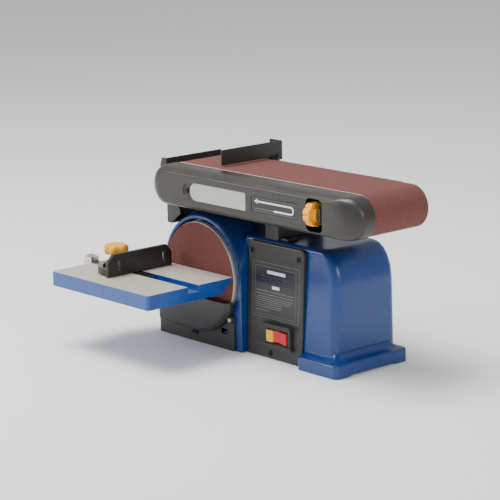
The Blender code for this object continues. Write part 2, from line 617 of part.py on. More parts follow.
def make_panel():
    outline = rounded((PANEL_LEFT, PANEL_LEFT + PANEL_WIDTH), (GAP, PANEL_TOP), PANEL_CORNER, 4)
    edge = PANEL_EDGE
    middle = (PANEL_LEFT + PANEL_WIDTH / 2, PANEL_TOP / 2)
    shrink_x = 1 - 2 * edge / PANEL_WIDTH
    shrink_z = 1 - 2 * edge / PANEL_TOP
    inner = [(middle[0] + (a - middle[0]) * shrink_x, middle[1] + (b - middle[1]) * shrink_z)
             for a, b in outline]
    rings = [
        [(a, wall_face(b) - GAP, b) for a, b in outline],
        [(a, panel_face(b) + edge * 0.7, b) for a, b in outline],
        [(a, panel_face(b), b) for a, b in inner],
    ]
    panel = loft("switch_panel", rings, "dark_plastic")
    bezel_hole = rounded((SWITCH_X[0], SWITCH_X[1]), (SWITCH_Z[0], SWITCH_Z[1]), 2 * MM, 2)
    cut(panel, prism("switch_hole", bezel_hole, "Y", FRONT - 5 * MM, FRONT + 40 * MM))
    for name, centre in PANEL_SCREWS.items():
        face = panel_face(centre[1])
        cut(panel, disc(name + "_bore", 4.4 * MM, "Y", centre, face - 5 * MM, face + 1.6 * MM, steps=16))
        cut(panel, disc(name + "_way", 2.3 * MM, "Y", centre, face - 5 * MM, face + 20 * MM, steps=12))
        screw(name, "Y", centre, face + 1.9 * MM, -1, 12 * MM, radius=PANEL_SCREW_RADIUS, slot="black_steel")

    # bezel: a frame standing out of the panel, with the switch's body behind it
    height = (SWITCH_Z[0] + SWITCH_Z[1]) / 2
    face = panel_face(SWITCH_Z[0])
    slack = 0.4 * MM
    outer_x = (SWITCH_X[0] + slack, SWITCH_X[1] - slack)
    outer_z = (SWITCH_Z[0] + slack, SWITCH_Z[1] - slack)
    outer = rounded(outer_x, outer_z, 1.6 * MM, 2)
    room = 1.6 * MM
    opening = rounded((ROCKER_X[0] - room, ROCKER_X[1] + room), (ROCKER_Z[0] - room, ROCKER_Z[1] + room),
                      1.2 * MM, 2)
    back = face + 12 * MM
    bezel = tube("switch_bezel", outer, opening, "Y", face - 4.5 * MM, back, "dark_plastic")
    lip_x = (SWITCH_X[0] - 3 * MM, SWITCH_X[1] + 3 * MM)
    lip = rounded(lip_x, (SWITCH_Z[1] - 3 * MM, SWITCH_Z[1] + 2.5 * MM), 2 * MM, 3)
    hood = prism("bezel_hood", lip, "Y", face - 8 * MM, face - 1.2 * MM)
    sill = prism("bezel_sill", [(a, b - SWITCH_Z[1] + SWITCH_Z[0] - 0.5 * MM) for a, b in lip], "Y",
                 face - 7 * MM, face - 1.2 * MM)
    join(bezel, hood, sill)
    body = box("switch_body", (SWITCH_X[0] + 2 * MM, SWITCH_X[1] - 2 * MM), (back + GAP, back + 26 * MM),
               (SWITCH_Z[0] + 2 * MM, SWITCH_Z[1] - 2 * MM), "black_plastic")
    centre = (ROCKER_X[0] + ROCKER_X[1]) / 2
    stem = box("switch_stem", (centre - 4 * MM, centre + 4 * MM), (face + 5.2 * MM, back + 2 * MM),
               (height - 5 * MM, height + 5 * MM))
    join(body, stem)

    # rocker: pivots about a vertical line in its middle, with the key in its left end
    pivot = (centre, face + 4 * MM)
    middle = centre
    outline = [(ROCKER_X[0], face + 3 * MM), (ROCKER_X[0], face - 5.5 * MM), (middle, face - 3 * MM)]
    outline += [(ROCKER_X[1], face - 7 * MM), (ROCKER_X[1], face + 0.5 * MM)]
    outline += [(middle + 4 * MM, face + 4 * MM), (middle - 4 * MM, face + 4 * MM)]
    rocker = prism("switch_rocker", outline, "Z", ROCKER_Z[0], ROCKER_Z[1], "rocker_red")
    key_x = (ROCKER_X[0] - GAP, ROCKER_X[0] + KEY_WIDTH)
    slot = box("key_slot", (key_x[0] - 1 * MM, key_x[1]), (face - 20 * MM, face + 2.2 * MM),
               (ROCKER_Z[0] - 1 * MM, ROCKER_Z[1] + 1 * MM))
    cut(rocker, slot)
    tongue_z = (height - 4 * MM, height + 4 * MM)
    key_front = face - 6.5 * MM
    key_low = box("safety_key", (ROCKER_X[0], key_x[1] - GAP), (key_front, face + 1.9 * MM), ROCKER_Z,
                  "key_yellow")
    grip_x = (ROCKER_X[0] + 4 * MM, ROCKER_X[0] + 9 * MM)
    join(key_low, box("key_grip", grip_x, (face - 8.5 * MM, face - 5 * MM), tongue_z))
    swing = on_axis("rocker_axis", (pivot[0], pivot[1], height), rocker)
    on_axis("key_slide", (ROCKER_X[0] + KEY_WIDTH / 2, key_front, height), key_low, parent=swing)


# ---------------------------------------------------------------- motor, disc and drive


def bearing(name, axis_centre, front):
    """A ball bearing, as one ring from its inner bore to its outer race."""
    bore = SHAFT_RADIUS + RUN
    outer = BEARING_RADIUS - GAP
    back = front + BEARING_WIDTH
    groove = 0.8 * MM
    profile = [(bore, front), (bore + 1.6 * MM, front), (bore + 1.6 * MM, front + groove),
               (outer - 1.6 * MM, front + groove), (outer - 1.6 * MM, front), (outer, front),
               (outer, back), (bore, back)]
    return turned(name, profile, "Y", axis_centre, "ground_steel")


def make_motor():
    radius = MOTOR_RADIUS
    seat = BEARING_RADIUS
    front = MOTOR_FRONT
    split = front + 12 * MM
    bell = [(seat, front), (radius, front), (radius, split), (radius - 4 * MM, split),
            (radius - 4 * MM, front + 5 * MM), (seat + 4 * MM, front + 5 * MM),
            (seat + 4 * MM, split + 3 * MM), (seat, split + 3 * MM)]
    turned("motor_front_bell", bell, "Y", DISC_AXIS, "cast_aluminium", WHEEL_STEPS)
    back = MOTOR_BACK
    rotor = radius - 22 * MM
    core = (split + 16 * MM, back - 22 * MM)
    can = [(radius, split + GAP), (radius, back), (seat, back), (seat, back - 13 * MM),
           (seat + 4 * MM, back - 13 * MM), (seat + 4 * MM, back - 4 * MM), (radius - 4 * MM, back - 4 * MM),
           (radius - 4 * MM, core[1]), (rotor + 0.8 * MM, core[1]), (rotor + 0.8 * MM, core[0]),
           (radius - 4 * MM, core[0]), (radius - 4 * MM, split + GAP)]
    turned("motor_can", can, "Y", DISC_AXIS, "black_steel", WHEEL_STEPS)
    bearing("motor_bearing_front", DISC_AXIS, front + 3 * MM)
    bearing("motor_bearing_back", DISC_AXIS, back - 11 * MM)

    shaft = [(0, DISC_FACE + 4 * MM), (SHAFT_RADIUS, DISC_FACE + 4 * MM), (SHAFT_RADIUS, core[0]),
             (rotor, core[0]), (rotor, core[1]), (SHAFT_RADIUS, core[1]),
             (SHAFT_RADIUS, PULLEY_BACK + 1 * MM), (0, PULLEY_BACK + 1 * MM)]
    rotor_piece = turned("motor_rotor", shaft, "Y", DISC_AXIS, "ground_steel", WHEEL_STEPS)

    bore = SHAFT_RADIUS + GAP
    face = DISC_FACE + DISC_THICK + GAP
    hub = 16 * MM
    plate = [(0, face), (DISC_RADIUS, face), (DISC_RADIUS, DISC_BACK), (hub, DISC_BACK),
             (hub, FRONT + RECESS_DEPTH - 2 * MM), (bore, FRONT + RECESS_DEPTH - 2 * MM),
             (bore, DISC_FACE + 3.7 * MM), (0, DISC_FACE + 3.7 * MM)]
    disc_plate = turned("disc_plate", plate, "Y", DISC_AXIS, "cast_aluminium", 48)
    sheet = disc("abrasive_disc", DISC_RADIUS, "Y", DISC_AXIS, DISC_FACE, DISC_FACE + DISC_THICK,
                 "abrasive", 48)
    pulley = make_pulley("motor_pulley", MOTOR_PULLEY_RADIUS, DISC_AXIS)
    on_axis("disc_axis", (DISC_X, FRONT, DISC_Z), rotor_piece, disc_plate, sheet, pulley)


def make_pulley(name, radius, centre):
    """A pulley with a flange at each side of the drive belt."""
    bore = SHAFT_RADIUS + GAP
    lip = radius + 2.6 * MM
    web = 1.4 * MM
    profile = [(bore, PULLEY_FRONT), (lip, PULLEY_FRONT), (lip, PULLEY_FRONT + web),
               (radius, PULLEY_FRONT + web), (radius, PULLEY_BACK - web), (lip, PULLEY_BACK - web),
               (lip, PULLEY_BACK), (bore, PULLEY_BACK)]
    return turned(name, profile, "Y", centre, "cast_aluminium", WHEEL_STEPS)


def make_drive_cover():
    """The drive belt round its pulleys, and the cover over them on the back of the base."""
    slack = GAP
    inner = wrapped(DISC_AXIS, MOTOR_PULLEY_RADIUS + slack, DRUM_AXIS, DRUM_PULLEY_RADIUS + slack)
    thick = slack + DRIVE_BELT_THICK
    outer = wrapped(DISC_AXIS, MOTOR_PULLEY_RADIUS + thick, DRUM_AXIS, DRUM_PULLEY_RADIUS + thick)
    edge = 1.8 * MM
    tube("drive_belt", outer, inner, "Y", PULLEY_FRONT + edge, PULLEY_BACK - edge, "rubber_black")

    rise = PULLEY_BACK + 7 * MM
    wall = 2.4 * MM
    shells = [(BASE_BACK + GAP, 0), (rise - 3 * MM, 0), (rise - 0.9 * MM, 0.9 * MM), (rise, 3 * MM)]
    rings = []
    for y, inset in shells:
        outline = wrapped(DISC_AXIS, 31 * MM - inset, DRUM_AXIS, 24 * MM - inset)
        rings.append([(a, y, b) for a, b in outline])
    cover = loft("drive_cover", rings, "black_plastic")
    inside = wrapped(DISC_AXIS, 31 * MM - wall, DRUM_AXIS, 24 * MM - wall)
    cut(cover, prism("drive_cover_cavity", inside, "Y", BASE_BACK - 5 * MM, rise - wall))
    boss = disc("drive_cover_boss", 5 * MM, "Y", COVER_SCREW, BASE_BACK + GAP, rise - 1 * MM, steps=16)
    join(cover, boss)
    hole_ends = (BASE_BACK - 5 * MM, rise + 5 * MM)
    cut(cover, disc("drive_cover_hole", 2.5 * MM, "Y", COVER_SCREW, *hole_ends, steps=12))
    screw("drive_cover_screw", "Y", COVER_SCREW, rise, 1, rise - SUPPORT_FRONT - 3 * MM, radius=4 * MM)


def make_ports():
    """The dust outlet and the cord's inlet gland, both on the back of the base."""
    inner = PORT_RADIUS - 2.5 * MM
    seat = BASE_BACK + GAP
    profile = [(inner, BASE_BACK - 10 * MM), (PORT_RADIUS, BASE_BACK - 10 * MM), (PORT_RADIUS, seat),
               (PORT_RADIUS + 8 * MM, seat), (PORT_RADIUS + 8 * MM, seat + FLANGE_THICK),
               (PORT_RADIUS, seat + FLANGE_THICK), (PORT_RADIUS - 0.8 * MM, seat + 30 * MM),
               (inner, seat + 30 * MM)]
    turned("dust_port", profile, "Y", PORT_CENTRE, "black_plastic", PORT_STEPS)
    bore = 3.6 * MM
    wide = GLAND_RADIUS + 4 * MM
    profile = [(bore, BASE_BACK - 9 * MM), (GLAND_RADIUS, BASE_BACK - 9 * MM), (GLAND_RADIUS, seat),
               (wide, seat), (wide, seat + FLANGE_THICK), (GLAND_RADIUS - 1 * MM, seat + 5 * MM),
               (GLAND_RADIUS - 2 * MM, seat + 12 * MM), (bore, seat + 12 * MM)]
    turned("cord_gland", profile, "Y", GLAND_CENTRE, "rubber_black", ARC_STEPS)


# ---------------------------------------------------------------- drums and arm


def drum_profile(bore, hub):
    """A drum with a rim, a hub and one web between them, open at both ends."""
    low = BELT_FRONT + 1 * MM
    high = BELT_BACK - 1 * MM
    middle = (low + high) / 2
    rim = DRUM_RADIUS - 3.5 * MM
    web = 5 * MM
    return [(bore, low), (hub, low), (hub, middle - web), (rim, middle - web), (rim, low),
            (DRUM_RADIUS - 0.6 * MM, low), (DRUM_RADIUS, low + 3 * MM), (DRUM_RADIUS, high - 3 * MM),
            (DRUM_RADIUS - 0.6 * MM, high), (rim, high), (rim, middle + web), (hub, middle + web),
            (hub, high), (bore, high)]


def make_drums():
    drum = turned("drive_drum", drum_profile(SHAFT_RADIUS + GAP, 14 * MM), "Y", DRUM_AXIS,
                  "cast_aluminium", WHEEL_STEPS)
    shaft_ends = (COVER_BACK - 4 * MM, PULLEY_BACK + 1 * MM)
    shaft = disc("drum_shaft", SHAFT_RADIUS, "Y", DRUM_AXIS, *shaft_ends, "ground_steel")
    pulley = make_pulley("drum_pulley", DRUM_PULLEY_RADIUS, DRUM_AXIS)
    on_axis("drum_axis", (DRUM_X, FRONT, BELT_Z), drum, shaft, pulley)

    idler = turned("idler_drum", drum_profile(AXLE_RADIUS + RUN, 12 * MM), "Y", (IDLER_X, BELT_Z),
                   "cast_aluminium", WHEEL_STEPS)
    return idler


def make_support():
    """The upright on the base that holds the drive drum's bearings and carries the arm."""
    shoulder = 32 * MM
    foot_z = BASE_TOP + GAP
    head = 26 * MM
    lean = acos(head / (BELT_Z - BASE_TOP)) * 180 / pi * 0.55
    outline = [(DRUM_X - shoulder, foot_z), (DRUM_X + shoulder, foot_z)]
    outline += arc(DRUM_AXIS, head, 90 - lean - 60, 90 + lean + 60, 16)
    support = prism("arm_support", outline, "Y", SUPPORT_FRONT, SUPPORT_BACK, "arm_casting")
    base = box("support_foot", (DRUM_X - shoulder, DRUM_X + shoulder),
               (SUPPORT_FRONT - 14 * MM, SUPPORT_BACK), (foot_z, foot_z + 8 * MM))
    sleeve_ends = (BEAM_FRONT + 1 * MM, SUPPORT_BACK + 2 * MM)
    sleeve = disc("support_sleeve", SLEEVE_RADIUS, "Y", DRUM_AXIS, *sleeve_ends, steps=WHEEL_STEPS)
    join(support, base, sleeve)
    bore = disc("support_bore", BEARING_RADIUS, "Y", DRUM_AXIS, BEAM_FRONT - 5 * MM, SUPPORT_BACK + 5 * MM,
                steps=WHEEL_STEPS)
    tap_ends = (SUPPORT_FRONT - 1 * MM, SUPPORT_BACK + 1 * MM)
    tap = disc("support_tap", 2.5 * MM, "Y", COVER_SCREW, *tap_ends, steps=12)
    cut(support, bore, tap)
    bearing("drum_bearing_front", DRUM_AXIS, BEAM_FRONT + 2 * MM)
    bearing("drum_bearing_back", DRUM_AXIS, SUPPORT_BACK - BEARING_WIDTH)


def make_arm(idler):
    beam_end = 29 * MM
    beam_right = CHANNEL_X[1]
    beam_bottom = BELT_Z - BEAM_HALF
    beam_top = BELT_Z + BEAM_HALF
    arm = box("arm_frame", CHANNEL_X, (COVER_BACK + GAP, BEAM_FRONT + 1 * MM), CHANNEL_Z, "arm_casting")
    run = [(DRUM_X, beam_bottom), (beam_right, beam_bottom), (beam_right, beam_top), (DRUM_X, beam_top)]
    beam = prism("arm_beam", run, "Y", BEAM_FRONT, BEAM_BACK)
    collar = disc("arm_collar", beam_end, "Y", DRUM_AXIS, BEAM_FRONT, BEAM_BACK, steps=WHEEL_STEPS)
    boss_top = BELT_Z + ROLL_RADIUS + 7 * MM
    stop_boss = box("stop_boss", (STOP_X - 30 * MM, STOP_X - STOP_THICK - GAP),
                    (BEAM_FRONT + 1.5 * MM, BEAM_BACK + 5.5 * MM), (beam_top - 2 * MM, boss_top))
    lug = box("rod_lug", (CHANNEL_X[1] - 6 * MM, CHANNEL_X[1]), (KNOB_Y - 6 * MM, COVER_BACK + 3 * MM),
              (BELT_Z - 9 * MM, BELT_Z + 9 * MM))
    join(arm, beam, collar, stop_boss, lug)
    wall = ARM_WALL
    under = box("channel_hollow", (CHANNEL_X[0] + wall, CHANNEL_X[1] - wall),
                (COVER_BACK + GAP + wall, BEAM_FRONT - 3 * MM), (CHANNEL_Z[0] - 5 * MM, CHANNEL_Z[1] - wall))
    pocket_z = (BELT_Z - 12.5 * MM, BELT_Z + 12.5 * MM)
    pocket = box("yoke_pocket", (LEVER_X + 14 * MM, beam_right + 5 * MM),
                 (YOKE_FRONT - GAP, BEAM_BACK + 5 * MM), pocket_z)
    bore = disc("collar_bore", SLEEVE_RADIUS + RUN, "Y", DRUM_AXIS, BEAM_FRONT - 10 * MM, BEAM_BACK + 5 * MM,
                steps=WHEEL_STEPS)
    rod_way = disc("rod_way", ROD_RADIUS + 0.4 * MM, "X", (KNOB_Y, BELT_Z), CHANNEL_X[1] - 10 * MM,
                   CHANNEL_X[1] + 10 * MM, steps=16)
    pin = disc("lever_pin_hole", LEVER_PIN + RUN, "Y", (LEVER_X, BELT_Z), BEAM_BACK - 12 * MM,
               BEAM_BACK + 5 * MM, steps=16)
    beam_hollow = box("beam_hollow", (DRUM_X + beam_end + wall, LEVER_X - 14 * MM),
                      (BEAM_FRONT + wall, BEAM_BACK - wall), (beam_bottom - 5 * MM, beam_top - wall))
    cut(arm, under, beam_hollow, pocket, bore, rod_way, pin)

    platen_x = (CHANNEL_X[0] - 8 * MM, CHANNEL_X[1] + 6 * MM)
    platen_z = (CHANNEL_Z[1] + GAP, BELT_Z + ROLL_RADIUS - BELT_THICK - GAP)
    platen = box("platen", platen_x, (BELT_FRONT + 1 * MM, BELT_BACK - 1 * MM), platen_z, "zinc_steel")
    inner = ROLL_RADIUS - BELT_THICK
    belt = tube("sanding_belt", stadium(DRUM_X, IDLER_X, BELT_Z, ROLL_RADIUS, 16),
                stadium(DRUM_X, IDLER_X, BELT_Z, inner, 16), "Y", BELT_FRONT, BELT_BACK, "abrasive")

    pieces = [arm, platen, belt] + make_side_cover() + make_stop(arm) + make_rod()
    pivot = on_axis("arm_axis", (DRUM_X, BEAM_BACK, BELT_Z), *pieces)

    yoke_x = (LEVER_X + 14 * MM + TENSION_TRAVEL + 2 * MM, IDLER_X + 11 * MM)
    yoke_z = (BELT_Z - 12 * MM, BELT_Z + 12 * MM)
    outline = rounded(yoke_x, yoke_z, [1 * MM, 10 * MM, 10 * MM, 1 * MM])
    yoke_back = YOKE_FRONT + YOKE_THICK
    yoke = prism("idler_yoke", outline, "Y", YOKE_FRONT, yoke_back, "black_steel")
    axle = disc("idler_axle", AXLE_RADIUS, "Y", (IDLER_X, BELT_Z), AXLE_FRONT, yoke_back + 4 * MM,
                "ground_steel")
    cut(yoke, disc("axle_hole", AXLE_RADIUS + GAP, "Y", (IDLER_X, BELT_Z), YOKE_FRONT - 5 * MM,
                   yoke_back + 5 * MM))
    slide = on_axis("yoke_slide", (IDLER_X, YOKE_FRONT, BELT_Z), yoke, axle, parent=pivot)
    on_axis("idler_axis", (IDLER_X, FRONT, BELT_Z), idler, parent=slide)
    make_lever(pivot)
    make_tracking_knob(pivot)


def make_lever(pivot):
    """The tension lever behind the beam: a cam on a pin, with a handle to the left."""
    front = BEAM_BACK + GAP
    back = front + LEVER_THICK
    lever = disc("tension_lever", 11 * MM, "Y", (LEVER_X, BELT_Z), front, back, "black_steel")
    handle_z = (BELT_Z - 5.5 * MM, BELT_Z + 5.5 * MM)
    outline = rounded((LEVER_X - 74 * MM, LEVER_X - 5 * MM), handle_z, [5 * MM, 1 * MM, 1 * MM, 5 * MM])
    handle = prism("lever_handle", outline, "Y", front + 1 * MM, back)
    outline = rounded((LEVER_X - 76 * MM, LEVER_X - 46 * MM), (BELT_Z - 7 * MM, BELT_Z + 7 * MM), 5 * MM)
    grip = prism("lever_grip", outline, "Y", front + 0.5 * MM, back + 3 * MM)
    pin = disc("lever_pin", LEVER_PIN, "Y", (LEVER_X, BELT_Z), BEAM_BACK - 10 * MM, back + 1.5 * MM)
    join(lever, handle, grip, pin)
    on_axis("lever_axis", (LEVER_X, BEAM_BACK, BELT_Z), lever, parent=pivot)


def make_tracking_knob(pivot):
    """The scalloped tracking knob, a nut on the tracking rod, half inside its slot in the cover."""
    wave = 1.3 * MM
    points = lobed((KNOB_Y, BELT_Z), KNOB_RADIUS - wave, wave, 9)
    low = KNOB_X - KNOB_THICK / 2
    high = KNOB_X + KNOB_THICK / 2
    knob = prism("tracking_knob", points, "X", low, high, "knob_orange")
    boss = disc("knob_boss", 9 * MM, "X", (KNOB_Y, BELT_Z), high - 1 * MM, high + 3 * MM)
    join(knob, boss)
    bore = disc("knob_bore", ROD_RADIUS + RUN, "X", (KNOB_Y, BELT_Z), low - 5 * MM, high + 8 * MM, steps=16)
    cut(knob, bore)
    on_axis("knob_axis", (KNOB_X, KNOB_Y, BELT_Z), knob, parent=pivot)


def make_rod():
    """The tracking rod, with a slotted eye that pulls on the front end of the idler's axle."""
    eye_x = (IDLER_X - 13 * MM, IDLER_X + 10 * MM)
    rod = disc("tracking_rod", ROD_RADIUS, "X", (KNOB_Y, BELT_Z), KNOB_X - KNOB_THICK / 2 - 6 * MM,
               eye_x[0] + 2 * MM, "zinc_steel", 16)
    eye = prism("rod_eye", rounded(eye_x, (BELT_Z - 9.5 * MM, BELT_Z + 9.5 * MM), 4 * MM), "Y",
                KNOB_Y - 1 * MM, KNOB_Y + 5 * MM)
    join(rod, eye)
    slack = AXLE_RADIUS + GAP
    slot = stadium(IDLER_X - TENSION_TRAVEL, IDLER_X, BELT_Z, slack, 8)
    cut(rod, prism("eye_slot", slot, "Y", KNOB_Y - 8 * MM, KNOB_Y + 8 * MM))
    return [rod]


def cover_ring(y, inset_end, inset_left, inset_edge):
    """The side cover's outline at a depth, with its own inset for each end and for its long edges."""
    radius = COVER_RADIUS - inset_edge
    left = DRUM_X - 33 * MM + radius + inset_left
    right = IDLER_X + 33.5 * MM - radius - inset_end
    return [(a, y, b) for a, b in stadium(left, right, BELT_Z, radius, 9)]


def cover_shell(wall):
    """Rings of the cover from its open back to its face, drawn in by a wall's thickness."""
    rings = []
    for u in (0, 0.4, 0.7, 0.9, 1):
        bulge = quarter(u)
        y = COVER_FRONT + wall + COVER_DOME * (1 - u)
        insets = [wall + bulge * most for most in (COVER_NOSE, COVER_TAIL, COVER_EDGE)]
        rings.append(cover_ring(y, *insets))
    first = COVER_BACK + (5 * MM if wall else 0)
    return [cover_ring(first, wall, wall, wall)] + rings


def make_side_cover():
    cover = loft("side_cover", cover_shell(0), "black_plastic")
    cut(cover, loft("side_cover_cavity", cover_shell(COVER_WALL)))
    plate_z = (BELT_Z - COVER_PLATE_HALF, BELT_Z + COVER_PLATE_HALF)
    outline = rounded(COVER_PLATE_X, plate_z, [12 * MM, 0.6 * MM, 0.6 * MM, 12 * MM], 6)
    seat = rounded((COVER_PLATE_X[0] - GAP, COVER_PLATE_X[1] + GAP), (plate_z[0] - GAP, plate_z[1] + GAP),
                   [12 * MM, 0.6 * MM, 0.6 * MM, 12 * MM], 6)
    depth = 2 * MM
    bottom = COVER_FRONT + depth
    cut(cover, prism("plate_seat", seat, "Y", COVER_FRONT - 5 * MM, bottom))
    plate = prism("cover_plate", outline, "Y", bottom - GAP - PLATE_THICK, bottom - GAP, "light_plate")

    label_z = (BELT_Z - LABEL_HALF, BELT_Z + LABEL_HALF)
    label_out = rounded(LABEL_X, label_z, 2 * MM, 3)
    label_in = rounded((LABEL_X[0] - GAP, LABEL_X[1] + GAP), (label_z[0] - GAP, label_z[1] + GAP), 2 * MM, 3)
    cut(cover, prism("label_seat", label_in, "Y", COVER_FRONT - 5 * MM, COVER_FRONT + 1.2 * MM))
    label_front = COVER_FRONT + 0.5 * MM
    label = prism("arrow_label", label_out, "Y", label_front, label_front + LABEL_THICK, "label_black")

    slot = rounded(KNOB_SLOT_X, (BELT_Z - KNOB_SLOT_HALF, BELT_Z + KNOB_SLOT_HALF), 7 * MM, 4)
    cut(cover, prism("knob_slot", slot, "Y", COVER_FRONT - 5 * MM, COVER_FRONT + 18 * MM))

    centre = (COVER_PLATE_X[0] - 7 * MM, BELT_Z)
    dish_floor = COVER_FRONT + 1.6 * MM
    dish = disc("screw_dish", 9 * MM, "Y", centre, COVER_FRONT - 5 * MM, dish_floor, steps=20)
    hole = disc("cover_screw_hole", 2.5 * MM, "Y", centre, COVER_FRONT - 5 * MM, COVER_FRONT + 12 * MM,
                steps=12)
    cut(cover, dish, hole)
    fastener = screw("cover_screw", "Y", centre, dish_floor, -1, 24 * MM, radius=4 * MM)
    return [cover, plate, label, fastener]


def make_stop(arm):
    """The work stop: an angle plate across the belt, screwed to the boss behind it."""
    low = BELT_Z + ROLL_RADIUS + 1.4 * MM
    high = low + STOP_HEIGHT
    tail = BELT_Z + BEAM_HALF + GAP
    back = BEAM_BACK + 8.5 * MM
    front = FRONT + 14.7 * MM
    step = BELT_BACK + 1.6 * MM
    outline = [(front, low), (step, low), (step, tail), (back, tail), (back, high), (front, high)]
    stop = prism("work_stop", outline, "X", STOP_X - STOP_THICK, STOP_X, "black_steel")
    flange = box("stop_flange", (STOP_X - 25 * MM, STOP_X), (back - STOP_THICK, back), (tail, high))
    join(stop, flange)
    screws = []
    for i, depth in enumerate((6 * MM, 16 * MM)):
        centre = (BEAM_FRONT + depth, BELT_Z + BEAM_HALF + 6 * MM)
        name = f"stop_screw_{i + 1}"
        ends = (STOP_X - 16 * MM, STOP_X + 5 * MM)
        cut(stop, disc(name + "_hole", 2.3 * MM, "X", centre, *ends, steps=12))
        cut(arm, disc(name + "_tap", 2.3 * MM, "X", centre, *ends, steps=12))
        screws.append(screw(name, "X", centre, STOP_X, 1, 12 * MM))
    return [stop] + screws


def make_end_guard():
    """The hood round the left end of the belt, standing on the base, open towards the drum."""
    top = BELT_Z + 30.6 * MM
    left = DRUM_X - 53 * MM
    plate = DRUM_X - 41 * MM
    foot_z = BASE_TOP + GAP
    back = SUPPORT_FRONT - 15 * MM
    side = [(plate, top), (left + 4 * MM, top), (left, top - 10 * MM), (left, BELT_Z - 4 * MM),
            (plate + 2 * MM, BELT_Z - 38 * MM), (plate + 5 * MM, foot_z), (DRUM_X - 14 * MM, foot_z),
            (DRUM_X - 9 * MM, BELT_Z - 50 * MM), (DRUM_X - 11 * MM, BELT_Z - 40 * MM),
            (DRUM_X - 19 * MM, BELT_Z - 33.5 * MM), (plate + SHEET_THICK, BELT_Z - 24 * MM),
            (plate + SHEET_THICK, top)]
    cheek_front = FRONT + 3 * MM
    cheek = prism("belt_end_guard", side, "Y", cheek_front, cheek_front + SHEET_THICK, "black_steel")
    depth = (cheek_front + 1 * MM, back)
    sheet = box("guard_sheet", (plate, plate + SHEET_THICK), depth, (foot_z + 1 * MM, top))
    shelf = box("guard_shelf", (plate, DRUM_X - 16 * MM), depth, (foot_z, foot_z + SHEET_THICK))
    join(cheek, sheet, shelf)
    seat = ARCH_RADIUS + GAP
    seat_ends = (FRONT - 5 * MM, FRONT + HOUSING_DEPTH + GAP)
    cut(cheek, disc("guard_seat", seat, "Y", DISC_AXIS, *seat_ends, steps=48))


def make_rest():
    """The stop bracket on the base that the lowered arm lies on."""
    low = BASE_TOP + GAP
    high = BELT_Z - ROLL_RADIUS - 0.5 * MM
    x = (DRUM_X + 150 * MM, DRUM_X + 178 * MM)
    block = rounded(x, (FRONT + 26 * MM, FRONT + 56 * MM), 2 * MM, 2)
    post = prism("arm_rest", block, "Z", low, high, "dark_plastic")
    ear = box("rest_ear", (x[1] - 2 * MM, x[1] + 16 * MM), (FRONT + 30 * MM, FRONT + 48 * MM),
              (low, low + 4 * MM))
    web = box("rest_web", (x[0] + 6 * MM, x[1] - 6 * MM), (FRONT + 50 * MM, BEAM_FRONT + 12 * MM),
              (low, low + 10 * MM))
    pad = box("rest_pad", (x[0] + 4 * MM, x[1] - 4 * MM), (BELT_BACK + GAP, BEAM_FRONT + 13 * MM),
              (low + 5 * MM, BELT_Z - BEAM_HALF - GAP))
    join(post, ear, web, pad)


# ---------------------------------------------------------------- table and miter gauge


